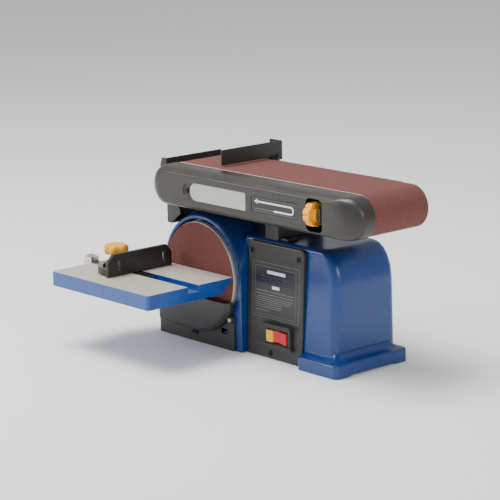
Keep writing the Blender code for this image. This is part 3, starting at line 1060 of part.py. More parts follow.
def make_table():
    edge = TABLE_EDGE
    top = TABLE_TOP
    land = 1.2 * MM
    corners = [4 * MM, 4 * MM, 1 * MM, 1 * MM]
    outline = rounded((TABLE_LEFT, TABLE_RIGHT), (TABLE_FRONT, TABLE_BACK), corners, 3)
    table = prism("work_table", outline, "Z", top - edge, top, "table_blue")
    bevel = prism("table_bevel", [
        (TABLE_BACK + 1 * MM, top - land + 1 * MM), (TABLE_BACK + 1 * MM, top - edge - 5 * MM),
        (TABLE_BACK - edge + land - 5 * MM, top - edge - 5 * MM),
    ], "X", TABLE_LEFT - 5 * MM, TABLE_RIGHT + 5 * MM)
    slot = box("miter_slot", (TABLE_LEFT - 5 * MM, TABLE_RIGHT + 5 * MM),
               (SLOT_Y - SLOT_WIDTH / 2, SLOT_Y + SLOT_WIDTH / 2), (top - SLOT_DEPTH, top + 5 * MM))
    under = box("table_hollow", (TABLE_LEFT + TABLE_SKIRT, TABLE_RIGHT - TABLE_SKIRT),
                (TABLE_FRONT + TABLE_SKIRT, TABLE_BACK - edge - 3 * MM),
                (top - edge - 5 * MM, top - TABLE_TOP_THICK))
    cut(table, bevel, slot, under)

    pivot = (TABLE_BACK, top)
    plate_top = top - TABLE_TOP_THICK - GAP
    inner = TILT_ARC - 9 * MM
    outer = TILT_ARC + 9 * MM
    sector = arc(pivot, outer, 180 + 24, 281, 12) + arc(pivot, inner, 281, 232, 6)
    near = TABLE_BACK - edge - 4 * MM
    far = TABLE_BACK - 66 * MM
    sector += [(near, top - edge - 2 * MM), (near, plate_top), (far, plate_top), (far, top - edge - 3 * MM)]
    thick = 5 * MM
    trunnion = prism("table_trunnion", sector, "X", TRUNNION_X, TRUNNION_X + thick, "black_steel")
    slack = STUD_RADIUS + 0.6 * MM
    ends = (270 - TILT_RANGE - 5.5, 275.5)
    groove = arc(pivot, TILT_ARC + slack, *ends, 10) + arc(pivot, TILT_ARC - slack, *ends[::-1], 10)
    cut(trunnion, prism("tilt_slot", groove, "X", TRUNNION_X - 5 * MM, TRUNNION_X + thick + 5 * MM))
    tilt = on_axis("table_axis", (TABLE_RIGHT, TABLE_BACK, top), table, trunnion)

    # the fixed bracket on the housing's flank, and the knob whose stud runs in the arc
    lock = (TABLE_BACK, top - TILT_ARC)
    plate_x = (TRUNNION_X + thick + GAP, FLANK - GAP)
    outline = rounded((TABLE_BACK - 12 * MM, FRONT + FACE_SETBACK + 55 * MM),
                      (lock[1] - 11 * MM, lock[1] + 11 * MM), 6 * MM, 3)
    bracket = prism("table_bracket", outline, "X", *plate_x, "black_steel")
    hole_ends = (plate_x[0] - 5 * MM, plate_x[1] + 5 * MM)
    cut(bracket, disc("bracket_hole", STUD_RADIUS + RUN, "X", lock, *hole_ends, steps=16))
    seat = TRUNNION_X - GAP
    tip = plate_x[1] - 0.5 * MM
    hub = [(0, seat - 20 * MM), (9 * MM, seat - 20 * MM), (11 * MM, seat - 16 * MM), (11 * MM, seat),
           (STUD_RADIUS, seat), (STUD_RADIUS, tip), (0, tip)]
    knob = turned("table_lock_knob", hub, "X", lock, "black_plastic")
    join(knob, prism("lock_grip", lobed(lock, 14.5 * MM, 1.5 * MM, 5), "X", seat - 18 * MM, seat - 7 * MM))
    on_axis("lock_axis", (seat, *lock), knob)
    make_miter_gauge(tilt)


def make_miter_gauge(tilt):
    top = TABLE_TOP
    pivot = (MITER_FACE_X - MITER_PIVOT_BACK, SLOT_Y)
    lock_x = pivot[0] - MITER_ARC
    bar_x = (MITER_FACE_X - MITER_BAR_TAIL, MITER_FACE_X + MITER_BAR_NOSE)
    half = SLOT_WIDTH / 2 - GAP
    bar_z = (top - SLOT_DEPTH + GAP, top - GAP)
    bar = box("miter_bar", bar_x, (SLOT_Y - half, SLOT_Y + half), bar_z, "ground_steel")
    pin = disc("miter_pin", 5 * MM, "Z", pivot, top - 3 * MM, top + 12 * MM)
    tab = box("pointer_seat", (bar_x[0], bar_x[0] + 16 * MM), (SLOT_Y - 7 * MM, SLOT_Y + 7 * MM),
              (top - 3 * MM, top + 7 * MM))
    join(bar, pin, tab)
    cut(bar, disc("stud_tap", 4 * MM, "Z", (lock_x, SLOT_Y), top - 7 * MM, top + 5 * MM, steps=16))

    low = top + GAP
    deck = low + MITER_DECK_THICK
    middle = SLOT_Y + 5.5 * MM
    face_y = (middle - MITER_LENGTH / 2, middle + MITER_LENGTH / 2)
    fence_back = MITER_FACE_X - MITER_FACE_THICK
    chamfer = 11 * MM
    face = [(face_y[0], low), (face_y[1], low), (face_y[1], low + MITER_HEIGHT - chamfer),
            (face_y[1] - chamfer * 0.8, low + MITER_HEIGHT), (face_y[0] + chamfer, low + MITER_HEIGHT),
            (face_y[0], low + MITER_HEIGHT - chamfer)]
    head = prism("miter_head", face, "X", fence_back, MITER_FACE_X, "black_plastic")
    reach = MITER_DECK_RADIUS
    outline = [(fence_back + 1 * MM, SLOT_Y - reach), (fence_back + 1 * MM, SLOT_Y + reach)]
    outline += arc(pivot, reach, 85, 275, 20)
    deck_plate = prism("miter_deck", outline, "Z", low, deck)
    rib = [(pivot[0] - 8 * MM, deck - 1 * MM), (fence_back + 1 * MM, deck - 1 * MM),
           (fence_back + 1 * MM, low + MITER_HEIGHT - 6 * MM)]
    rib_half = 3 * MM
    join(head, deck_plate)
    for i, y in enumerate((SLOT_Y - 24 * MM, SLOT_Y + 24 * MM)):
        join(head, prism(f"miter_rib_{i}", rib, "Y", y - rib_half, y + rib_half))
    slot_half = 2.2 * MM
    for i, y in enumerate((face_y[0] + 20 * MM, face_y[1] - 14 * MM)):
        hole = rounded((y - slot_half, y + slot_half), (low + 8 * MM, low + 23 * MM), 2.1 * MM, 3)
        cut(head, prism(f"fence_slot_{i}", hole, "X", fence_back - 5 * MM, MITER_FACE_X + 5 * MM))
    cut(head, disc("pin_hole", 5 * MM + RUN, "Z", pivot, low - 5 * MM, deck + 5 * MM, steps=ARC_STEPS))
    slack = 4.5 * MM
    ends = (180 - MITER_SWING - 8, 180 + MITER_SWING + 8)
    swing = arc(pivot, MITER_ARC + slack, *ends, 16) + arc(pivot, MITER_ARC - slack, *ends[::-1], 16)
    cut(head, prism("swing_slot", swing, "Z", low - 5 * MM, deck + 5 * MM))

    washer = deck + GAP
    grip = washer + 20 * MM
    tip = top - 6.5 * MM
    neck = grip - 8 * MM
    profile = [(0, tip), (3.6 * MM, tip), (3.6 * MM, washer), (9 * MM, washer), (9 * MM, washer + 2 * MM),
               (5.5 * MM, washer + 3 * MM), (5.5 * MM, neck), (0, neck)]
    knob = turned("miter_knob", profile, "Z", (lock_x, SLOT_Y), "knob_orange")
    petals = lobed((lock_x, SLOT_Y), MITER_KNOB_RADIUS, 1.5 * MM, 7)
    join(knob, prism("knob_cap", petals, "Z", grip - 9 * MM, grip + 5 * MM))

    pointer_z = top + 7 * MM + GAP
    wide = 5 * MM
    end = bar_x[0] + 13 * MM
    shape = [(bar_x[0] + 1 * MM, SLOT_Y - wide), (end, SLOT_Y - wide), (end + 9 * MM, SLOT_Y),
             (end, SLOT_Y + wide), (bar_x[0] + 1 * MM, SLOT_Y + wide)]
    pointer = prism("miter_pointer", shape, "Z", pointer_z, pointer_z + 1.5 * MM, "zinc_steel")
    slide = on_axis("bar_slide", (pivot[0], SLOT_Y, top), bar, pointer, parent=tilt)
    on_axis("head_axis", (*pivot, top), head, parent=slide)
    on_axis("miter_knob_axis", (lock_x, SLOT_Y, grip), knob, parent=slide)


# ---------------------------------------------------------------- the whole machine


def main():
    for old in list(bpy.data.objects):
        bpy.data.objects.remove(old)
    make_base()
    make_front_covers()
    make_panel()
    make_motor()
    make_drive_cover()
    make_ports()
    make_support()
    make_arm(make_drums())
    make_end_guard()
    make_rest()
    make_table()


main()
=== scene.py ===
# %% [markdown]
# # A bench sander with a belt and a disc
# The machine has a blue cast base with the motor inside it. An abrasive disc turns at its left front,
# behind a small table with a miter gauge. An abrasive belt runs over two drums on an arm above the base.
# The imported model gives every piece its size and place. This lesson gives the pieces their finished
# surfaces and materials, one step at a time.

# %% Load the model and measure it
import json

import bmesh
import bpy
import numpy as np
from math import cos, pi, radians, sin
from mathutils import Matrix, Vector


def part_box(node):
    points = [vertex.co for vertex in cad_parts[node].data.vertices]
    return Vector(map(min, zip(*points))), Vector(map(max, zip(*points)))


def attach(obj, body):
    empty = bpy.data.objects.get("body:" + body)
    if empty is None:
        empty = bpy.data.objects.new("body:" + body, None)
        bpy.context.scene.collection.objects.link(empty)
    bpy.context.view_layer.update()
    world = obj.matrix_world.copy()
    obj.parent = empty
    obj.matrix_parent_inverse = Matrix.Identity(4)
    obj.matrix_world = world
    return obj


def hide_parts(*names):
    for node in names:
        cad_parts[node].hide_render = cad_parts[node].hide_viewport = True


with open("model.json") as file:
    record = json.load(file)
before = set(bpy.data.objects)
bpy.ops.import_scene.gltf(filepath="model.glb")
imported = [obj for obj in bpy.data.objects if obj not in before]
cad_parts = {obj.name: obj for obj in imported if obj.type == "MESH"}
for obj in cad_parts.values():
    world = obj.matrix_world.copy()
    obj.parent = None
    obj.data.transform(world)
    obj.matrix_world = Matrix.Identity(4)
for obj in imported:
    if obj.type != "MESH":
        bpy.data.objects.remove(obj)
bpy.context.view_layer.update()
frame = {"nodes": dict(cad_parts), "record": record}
MM = 0.001


def corners(node):
    """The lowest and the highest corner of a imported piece, as two arrays."""
    low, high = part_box(node)
    return np.array(low), np.array(high)


# %% [markdown]
# ## Where the axes are
# The disc and the two drums are round, so the middle of each one's box is its axis. Reading the boxes
# keeps every surface below in step with the model, which copying numbers by hand would not.

# %% Axes and radii
disc_low, disc_high = corners("abrasive_disc")
DISC_RADIUS = (disc_high[0] - disc_low[0]) / 2
DISC_AXIS = ((disc_low[0] + disc_high[0]) / 2, (disc_low[2] + disc_high[2]) / 2)
drum_low, drum_high = corners("drum_shaft")
idler_low, idler_high = corners("idler_axle")
belt_low, belt_high = corners("sanding_belt")
BELT_Z = (belt_low[2] + belt_high[2]) / 2
BELT_RADIUS = (belt_high[2] - belt_low[2]) / 2
DRUM_AXIS = ((drum_low[0] + drum_high[0]) / 2, BELT_Z)
IDLER_AXIS = ((idler_low[0] + idler_high[0]) / 2, BELT_Z)
print(f"disc axis {DISC_AXIS}, radius {DISC_RADIUS:.4f}; drums at {DRUM_AXIS} and {IDLER_AXIS}")

# %% [markdown]
# ## Camera, floor and light
# A long lens from a little above keeps the machine's edges nearly parallel, as a catalogue picture does.
# The floor is one wide pale sheet. Light comes from a bright sky and from three large soft panels: a big
# panel leaves a broad, gentle highlight on paint, and a small lamp would leave a hard spot.

# %% Camera
TURN, RISE, ROLL = radians(48.94), radians(12.52), radians(-1.332)
TARGET = Vector((-0.0437, -0.00675, 0.1347))
DISTANCE = 2.8829
back = Vector((sin(TURN) * cos(RISE), -cos(TURN) * cos(RISE), sin(RISE)))
right = Vector((cos(TURN), sin(TURN), 0))
up = back.cross(right)
rolled_right = cos(ROLL) * right + sin(ROLL) * up
rolled_up = -sin(ROLL) * right + cos(ROLL) * up
camera = bpy.data.objects.new("camera", bpy.data.cameras.new("camera"))
bpy.context.scene.collection.objects.link(camera)
camera.matrix_world = Matrix((
    (rolled_right.x, rolled_up.x, back.x, TARGET.x + back.x * DISTANCE),
    (rolled_right.y, rolled_up.y, back.y, TARGET.y + back.y * DISTANCE),
    (rolled_right.z, rolled_up.z, back.z, TARGET.z + back.z * DISTANCE),
    (0, 0, 0, 1),
))
camera.data.sensor_width = 36
camera.data.lens = 142.6
camera.data.clip_end = 60
bpy.context.scene.camera = camera
print("camera at", [round(v, 3) for v in camera.matrix_world.translation])

# %% Soft light
world = bpy.data.worlds.new("studio")
world.use_nodes = True
world.node_tree.nodes["Background"].inputs["Color"].default_value = (1, 1, 1, 1)
world.node_tree.nodes["Background"].inputs["Strength"].default_value = 0.6
bpy.context.scene.world = world


def soft_panel(name, place, size, power):
    """A square area light of a size in metres, at a place, that faces the middle of the machine."""
    light = bpy.data.lights.new(name, "AREA")
    light.shape = "SQUARE"
    light.size = size
    light.energy = power
    lamp = bpy.data.objects.new(name, light)
    bpy.context.scene.collection.objects.link(lamp)
    lamp.location = place
    lamp.rotation_euler = (TARGET - lamp.location).to_track_quat("-Z", "Y").to_euler()
    return lamp


soft_panel("light_above", Vector((-0.6, -0.6, 2.4)), 1.3, 74)
soft_panel("light_left", Vector((-1.7, -1.9, 1.1)), 0.9, 24)
soft_panel("light_right", Vector((2.4, -0.6, 1.3)), 0.8, 16)

# %% [markdown]
# ## Surfaces as arrays
# Most pieces are lathe work, bent sheet or moulded shells. Each is a grid of points worked out at once:
# a line of profile points going round an axis, or an outline going through a stack of insets. One helper
# turns such a grid into a closed mesh, merges the points that meet at its poles and seams, and turns the
# faces outwards.

# %% Grid to mesh
def weld(mesh, sharp):
    """Merges doubled points, points the faces outwards and shades smoothly up to a sharp angle."""
    work = bmesh.new()
    work.from_mesh(mesh)
    bmesh.ops.remove_doubles(work, verts=work.verts, dist=0.002 * MM)
    bmesh.ops.dissolve_degenerate(work, edges=work.edges, dist=0.001 * MM)
    bmesh.ops.recalc_face_normals(work, faces=work.faces)
    work.to_mesh(mesh)
    work.free()
    mesh.shade_smooth()
    mesh.set_sharp_from_angle(angle=radians(sharp))


def show(name, mesh):
    """A new object for a mesh, in the scene, with flat faces kept flat next to rounded edges."""
    piece = bpy.data.objects.new(name, mesh)
    bpy.context.scene.collection.objects.link(piece)
    weighted = piece.modifiers.new("flat faces", "WEIGHTED_NORMAL")
    weighted.keep_sharp = True
    return piece


def surface(name, points, ring=False, sharp=34):
    """A closed mesh from a grid of points (rows, columns, 3).

    Point (i, j) joins (i + 1, j) and (i, j + 1); columns always wrap round, rows only in a ring.
    """
    rows, columns = points.shape[:2]
    i = np.arange(rows if ring else rows - 1)[:, None]
    j = np.arange(columns)[None, :]
    after_i = (i + 1) % rows
    after_j = (j + 1) % columns
    quads = np.stack([i * columns + j, i * columns + after_j, after_i * columns + after_j,
                      after_i * columns + j], -1)
    mesh = bpy.data.meshes.new(name)
    mesh.from_pydata(points.reshape(-1, 3).tolist(), [], quads.reshape(-1, 4).tolist())
    weld(mesh, sharp)
    return show(name, mesh)


def placed(axis, a, b, depth):
    """Stacks two coordinates across an axis and one along it into x, y, z."""
    a, b, depth = np.broadcast_arrays(a, b, depth)
    order = {"X": (depth, a, b), "Y": (a, depth, b), "Z": (a, b, depth)}
    return np.stack(order[axis], -1)


def softened(line, size, count=4, closed=False):
    """Rounds the corners of a line of points.

    Near a corner C the line leaves its two sides at A and B, and between them it follows
    (1 - t)^2 A + 2 t (1 - t) C + t^2 B for t from 0 to 1.
    """
    line = np.asarray(line, float)

    def towards(other):
        """Each point moved a set way along the side to its neighbour, and under half of that side."""
        step = other - line
        length = np.maximum(np.linalg.norm(step, axis=1, keepdims=True), 1e-9)
        return line + step / length * np.minimum(size, 0.45 * length)

    a = towards(np.roll(line, 1, 0))[:, None]
    b = towards(np.roll(line, -1, 0))[:, None]
    t = np.linspace(0, 1, count)[None, :, None]
    curve = (1 - t) ** 2 * a + 2 * t * (1 - t) * line[:, None] + t ** 2 * b
    if closed:
        return curve.reshape(-1, 2)
    return np.concatenate([line[:1], curve[1:-1].reshape(-1, 2), line[-1:]])


def turned(name, profile, centre, axis="Y", steps=96, edge=0.4 * MM, wave=None):
    """A lathe surface: each (radius, depth) of the profile goes round the axis.

    A point is centre + radius (1 + wave(t)) (cos t, sin t), at its depth along the axis. A profile
    that never touches the axis closes on itself, as a ring does.
    """
    ring = min(radius for radius, depth in profile) > 0
    line = softened(profile, edge, closed=ring)
    t = np.linspace(0, 2 * pi, steps, endpoint=False)[None, :]
    radius = line[:, :1] * (1 + (wave(t, line[:, :1]) if wave else 0))
    points = placed(axis, centre[0] + radius * np.cos(t), centre[1] + radius * np.sin(t), line[:, 1:])
    return surface(name, points, ring)


def rounded(x, z, radius, inset=0.0, steps=9):
    """A rectangle's outline with quarter-circle corners, drawn in by an inset.

    Each corner's centre lies one radius in from both sides, and its arc is centre + radius (cos t, sin t).
    """
    radii = np.maximum(np.broadcast_to(np.asarray(radius, float), (4,)) - inset, 0.05 * MM)[:, None]
    low = np.array([x[0] + inset, z[0] + inset])
    high = np.array([x[1] - inset, z[1] - inset])
    places = np.array([low, (high[0], low[1]), high, (low[0], high[1])])
    inward = np.array([(1, 1), (-1, 1), (-1, -1), (1, -1)])
    centres = places + inward * radii
    t = np.radians([180, 270, 0, 90])[:, None] + np.linspace(0, pi / 2, steps)[None, :]
    arcs = np.stack([np.cos(t), np.sin(t)], -1) * radii[:, :, None]
    return (centres[:, None, :] + arcs).reshape(-1, 2)


def stadium(left, right, middle, radius, steps=40):
    """Two half circles joined by straight sides: centre + radius (cos t, sin t) on each half."""
    t = np.linspace(-pi / 2, pi / 2, steps)
    one = np.stack([right + radius * np.cos(t), middle + radius * np.sin(t)], -1)
    two = np.stack([left - radius * np.cos(t), middle - radius * np.sin(t)], -1)
    return np.concatenate([one, two])


def stacked(name, outline, levels, axis="Y", sharp=34):
    """A solid through a stack of outlines: outline(inset) at each (inset, depth) of the levels.

    Both ends close on the middle of their outline.
    """
    rings = [placed(axis, *outline(inset).T, depth) for inset, depth in levels]
    ends = [np.broadcast_to(ring.mean(0), ring.shape) for ring in (rings[0], rings[-1])]
    return surface(name, np.stack([ends[0], *rings, ends[1]]), sharp=sharp)


def edge_levels(front, rear, size, count=4):
    """Insets and depths of a plate whose two rims are rounded by quarter circles of one size."""
    t = np.linspace(0, pi / 2, count)
    inset = size * (1 - np.sin(t))
    depth = size * (1 - np.cos(t))
    return list(zip(inset, front + depth)) + list(zip(inset[::-1], rear - depth[::-1]))


print("helpers ready")

# %% [markdown]
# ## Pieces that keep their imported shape
# Castings and sheet parts with many holes are right as they are packed, but their curves are facets and
# their edges are knife sharp. A refined copy merges its loose triangles, joins the flat ones, rounds the
# sharp edges with a Bevel modifier and shades the curves smoothly.

# %% Refined copies
def refined(node, edge=0.4 * MM, sharp=33):
    """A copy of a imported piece, welded, with rounded edges and smooth curves."""
    mesh = frame["nodes"][node].data.copy()
    mesh.materials.clear()
    work = bmesh.new()
    work.from_mesh(mesh)
    bmesh.ops.remove_doubles(work, verts=work.verts, dist=0.01 * MM)
    bmesh.ops.dissolve_limit(work, angle_limit=radians(0.4), verts=work.verts, edges=work.edges)
    work.to_mesh(mesh)
    work.free()
    mesh.shade_smooth()
    mesh.set_sharp_from_angle(angle=radians(sharp))
    piece = bpy.data.objects.new(node + "_finished", mesh)
    bpy.context.scene.collection.objects.link(piece)
    if edge:
        bevel = piece.modifiers.new("rounded edges", "BEVEL")
        bevel.width = edge
        bevel.segments = 2
        bevel.limit_method = "ANGLE"
        bevel.angle_limit = radians(sharp)
        bevel.use_clamp_overlap = False
    weighted = piece.modifiers.new("flat faces", "WEIGHTED_NORMAL")
    weighted.keep_sharp = True
    return piece


def cut_out(piece, *cutters):
    """Cuts solids out of a piece, keeps the result as its mesh and removes the cutters."""
    for cutter in cutters:
        step = piece.modifiers.new("cut", "BOOLEAN")
        step.object = cutter
        step.solver = "EXACT"
    piece.modifiers.move(0, len(piece.modifiers) - 1)
    graph = bpy.context.evaluated_depsgraph_get()
    mesh = bpy.data.meshes.new_from_object(piece.evaluated_get(graph))
    piece.modifiers.clear()
    piece.data = mesh
    mesh.shade_smooth()
    mesh.set_sharp_from_angle(angle=radians(34))
    for cutter in cutters:
        bpy.data.objects.remove(cutter)
    weighted = piece.modifiers.new("flat faces", "WEIGHTED_NORMAL")
    weighted.keep_sharp = True


def joined(name, pieces):
    """One object from several, for marks that are printed together."""
    work = bmesh.new()
    for piece in pieces:
        work.from_mesh(piece.data)
        bpy.data.objects.remove(piece)
    mesh = bpy.data.meshes.new(name)
    work.to_mesh(mesh)
    work.free()
    mesh.shade_smooth()
    mesh.set_sharp_from_angle(angle=radians(34))
    return show(name, mesh)


print("refining ready")

# %% [markdown]
# ## Shared surface effects
# Paint, cast metal and moulded plastic differ mostly in their fine surface. Each effect that several of
# them use is a node group, built once: it reads Object coordinates, so a pattern stays on its piece when
# the piece moves, and it puts out only masks, heights and normals.

# %% Helpers for node trees
def add(tree, kind, values=None, **settings):
    """A node with its settings and its inputs; an input's value is a number, a colour or a socket."""
    made = tree.nodes.new(kind)
    for key, setting in settings.items():
        setattr(made, key, setting)
    for key, value in (values or {}).items():
        socket = made.inputs[key]
        if isinstance(value, bpy.types.NodeSocket):
            tree.links.new(value, socket)
        else:
            socket.default_value = value
    return made


def effect(name, inputs, outputs):
    """An empty node group with named inputs (name, kind, value) and outputs (name, kind)."""
    tree = bpy.data.node_groups.new(name, "ShaderNodeTree")
    for label, kind, value in inputs:
        tree.interface.new_socket(label, in_out="INPUT", socket_type=kind).default_value = value
    for label, kind in outputs:
        tree.interface.new_socket(label, in_out="OUTPUT", socket_type=kind)
    return tree, tree.nodes.new("NodeGroupInput").outputs, tree.nodes.new("NodeGroupOutput").inputs


FLOAT, VECTOR = "NodeSocketFloat", "NodeSocketVector"


def arithmetic(tree, operation, a, b=0.0):
    """One Math node, a (operation) b."""
    return add(tree, "ShaderNodeMath", {0: a, 1: b}, operation=operation).outputs[0]


print("node helpers ready")

# %% Mottle: slow variation of tone and gloss
MOTTLE, given, out = effect("mottle", [("Scale", FLOAT, 30.0)], [("Mask", FLOAT)])
place = add(MOTTLE, "ShaderNodeTexCoord").outputs["Object"]
broad = add(MOTTLE, "ShaderNodeTexNoise", {"Vector": place, "Scale": given["Scale"], "Detail": 4.0})
MOTTLE.links.new(add(MOTTLE, "ShaderNodeMapRange", {
    "Value": broad.outputs["Fac"], "From Min": 0.32, "From Max": 0.68,
}).outputs["Result"], out["Mask"])

# %% Orange peel: the dimpled skin of sprayed enamel
PEEL, given, out = effect("orange_peel", [("Scale", FLOAT, 700.0)], [("Height", FLOAT)])
place = add(PEEL, "ShaderNodeTexCoord").outputs["Object"]
dimples = add(PEEL, "ShaderNodeTexNoise", {"Vector": place, "Scale": given["Scale"], "Detail": 2.0})
lumps = add(PEEL, "ShaderNodeTexNoise", {
    "Vector": place, "Scale": arithmetic(PEEL, "MULTIPLY", given["Scale"], 0.3), "Detail": 1.0,
})
PEEL.links.new(arithmetic(PEEL, "ADD", dimples.outputs["Fac"], lumps.outputs["Fac"]), out["Height"])

# %% Grain: the fine pebble of moulded plastic and of castings
GRAIN, given, out = effect("grain", [("Scale", FLOAT, 1500.0)], [("Height", FLOAT), ("Mask", FLOAT)])
place = add(GRAIN, "ShaderNodeTexCoord").outputs["Object"]
cells = add(GRAIN, "ShaderNodeTexVoronoi", {"Vector": place, "Scale": given["Scale"]},
            feature="SMOOTH_F1")
cloud = add(GRAIN, "ShaderNodeTexNoise", {"Vector": place, "Scale": given["Scale"], "Detail": 3.0})
GRAIN.links.new(arithmetic(GRAIN, "ADD", cells.outputs["Distance"], cloud.outputs["Fac"]), out["Height"])
GRAIN.links.new(cloud.outputs["Fac"], out["Mask"])

# %% Grit: crystals of abrasive in their glue
GRIT, given, out = effect("grit", [("Scale", FLOAT, 2600.0)], [("Height", FLOAT), ("Mask", FLOAT)])
place = add(GRIT, "ShaderNodeTexCoord").outputs["Object"]
crystals = add(GRIT, "ShaderNodeTexVoronoi", {"Vector": place, "Scale": given["Scale"]})
clumps = add(GRIT, "ShaderNodeTexNoise", {
    "Vector": place, "Scale": arithmetic(GRIT, "MULTIPLY", given["Scale"], 0.25), "Detail": 6.0,
    "Roughness": 0.75,
})
glint = add(GRIT, "ShaderNodeSeparateColor", {"Color": crystals.outputs["Color"]}).outputs[0]
blended = arithmetic(GRIT, "ADD", arithmetic(GRIT, "MULTIPLY", glint, 0.45), clumps.outputs["Fac"])
GRIT.links.new(crystals.outputs["Distance"], out["Height"])
GRIT.links.new(add(GRIT, "ShaderNodeMapRange", {
    "Value": blended, "From Min": 0.42, "From Max": 1.05,
}).outputs["Result"], out["Mask"])

# %% Lines: the scratches of grinding and brushing, drawn out along one direction
LINES, given, out = effect("ground_lines", [("Stretch", VECTOR, (1, 1, 1))],
                           [("Height", FLOAT), ("Mask", FLOAT)])
place = add(LINES, "ShaderNodeTexCoord").outputs["Object"]
drawn = add(LINES, "ShaderNodeVectorMath", {0: place, 1: given["Stretch"]}, operation="MULTIPLY")
hair = add(LINES, "ShaderNodeTexNoise", {
    "Vector": drawn.outputs["Vector"], "Scale": 1.0, "Detail": 5.0, "Roughness": 0.7,
})
LINES.links.new(hair.outputs["Fac"], out["Height"])
LINES.links.new(add(LINES, "ShaderNodeMapRange", {
    "Value": hair.outputs["Fac"], "From Min": 0.3, "From Max": 0.7,
}).outputs["Result"], out["Mask"])

# %% Rings: the fine circles that a lathe leaves round an axis along Y
RINGS, given, out = effect("lathe_rings", [("Centre", VECTOR, (0, 0, 0)), ("Pitch", FLOAT, 1400.0)],
                           [("Height", FLOAT)])
place = add(RINGS, "ShaderNodeTexCoord").outputs["Object"]
apart = add(RINGS, "ShaderNodeVectorMath", {0: place, 1: given["Centre"]}, operation="SUBTRACT")
flat = add(RINGS, "ShaderNodeVectorMath", {0: apart.outputs["Vector"], 1: (1, 0, 1)}, operation="MULTIPLY")
reach = add(RINGS, "ShaderNodeVectorMath", {0: flat.outputs["Vector"]}, operation="LENGTH").outputs["Value"]
along = add(RINGS, "ShaderNodeSeparateXYZ", {"Vector": place}).outputs["Y"]
track = arithmetic(RINGS, "MULTIPLY", arithmetic(RINGS, "ADD", reach, along), given["Pitch"])
ripple = add(RINGS, "ShaderNodeTexNoise", {"W": track, "Scale": 1.0, "Detail": 3.0}, noise_dimensions="1D")
RINGS.links.new(ripple.outputs["Fac"], out["Height"])

# %% Edges: a rounded normal at every corner, and a mask of where handling wears it
EDGES, given, out = effect("worn_edges", [("Radius", FLOAT, 0.6 * MM), ("Scale", FLOAT, 160.0)],
                           [("Normal", VECTOR), ("Mask", FLOAT)])
round_off = add(EDGES, "ShaderNodeBevel", {"Radius": given["Radius"]}, samples=4).outputs["Normal"]
facing = add(EDGES, "ShaderNodeNewGeometry").outputs["Normal"]
same = add(EDGES, "ShaderNodeVectorMath", {0: round_off, 1: facing}, operation="DOT_PRODUCT")
bent = arithmetic(EDGES, "SUBTRACT", 1.0, same.outputs["Value"])
place = add(EDGES, "ShaderNodeTexCoord").outputs["Object"]
patch = add(EDGES, "ShaderNodeTexNoise", {"Vector": place, "Scale": given["Scale"], "Detail": 5.0})
worn = arithmetic(EDGES, "MULTIPLY", bent, arithmetic(EDGES, "MULTIPLY", patch.outputs["Fac"], 9.0))
EDGES.links.new(round_off, out["Normal"])
EDGES.links.new(add(EDGES, "ShaderNodeMapRange", {
    "Value": worn, "From Min": 0.35, "From Max": 1.3,
}).outputs["Result"], out["Mask"])

# %% Dust: fine sanding dust that settles on faces that look up
DUST, given, out = effect("settled_dust", [("Scale", FLOAT, 45.0)], [("Mask", FLOAT)])
lift = add(DUST, "ShaderNodeSeparateXYZ", {
    "Vector": add(DUST, "ShaderNodeTexCoord").outputs["Normal"],
}).outputs["Z"]
place = add(DUST, "ShaderNodeTexCoord").outputs["Object"]
drift = add(DUST, "ShaderNodeTexNoise", {"Vector": place, "Scale": given["Scale"], "Detail": 6.0})
level = add(DUST, "ShaderNodeMapRange", {"Value": lift, "From Min": 0.55, "From Max": 0.98}).outputs["Result"]
thick = add(DUST, "ShaderNodeMapRange", {
    "Value": drift.outputs["Fac"], "From Min": 0.38, "From Max": 0.72,
}).outputs["Result"]
DUST.links.new(arithmetic(DUST, "MULTIPLY", level, thick), out["Mask"])

# %% Zone: one where a coordinate lies between two limits, for a bare top or a cut edge
ZONE, given, out = effect("zone", [("Value", FLOAT, 0.0), ("Low", FLOAT, 0.0), ("High", FLOAT, 1.0)],
                          [("Mask", FLOAT)])
over = arithmetic(ZONE, "GREATER_THAN", given["Value"], given["Low"])
under = arithmetic(ZONE, "LESS_THAN", given["Value"], given["High"])
ZONE.links.new(arithmetic(ZONE, "MULTIPLY", over, under), out["Mask"])
print("effects:", sorted(g.name for g in bpy.data.node_groups))

# %% [markdown]
# ## Finishes
# A finish starts from a base colour, roughness and metal value. Mottle varies the tone a little, wear
# shows another colour at the edges, dust lies on top, and a bump from one of the effects sits on the
# rounded normal. Values that don't change over the surface go straight into the Principled shader.

# %% One recipe for every finish
def blend(tree, mask, one, two):
    """One colour turning into another where the mask is one."""
    made = add(tree, "ShaderNodeMix", {0: mask, 6: one, 7: two}, data_type="RGBA")
    return made.outputs[2]


def use(tree, group, **values):
    """A placed node group; its inputs are set by name."""
    made = tree.nodes.new("ShaderNodeGroup")
    made.node_tree = group
    for key, value in values.items():
        if isinstance(value, bpy.types.NodeSocket):
            tree.links.new(value, made.inputs[key])
        else:
            made.inputs[key].default_value = value
    return made


def shaded(colour, amount):
    """A colour made lighter or darker by a factor, with full alpha."""
    return tuple(min(1, channel * amount) for channel in colour[:3]) + (1,)


DUST_COLOUR = (0.42, 0.33, 0.27, 1)


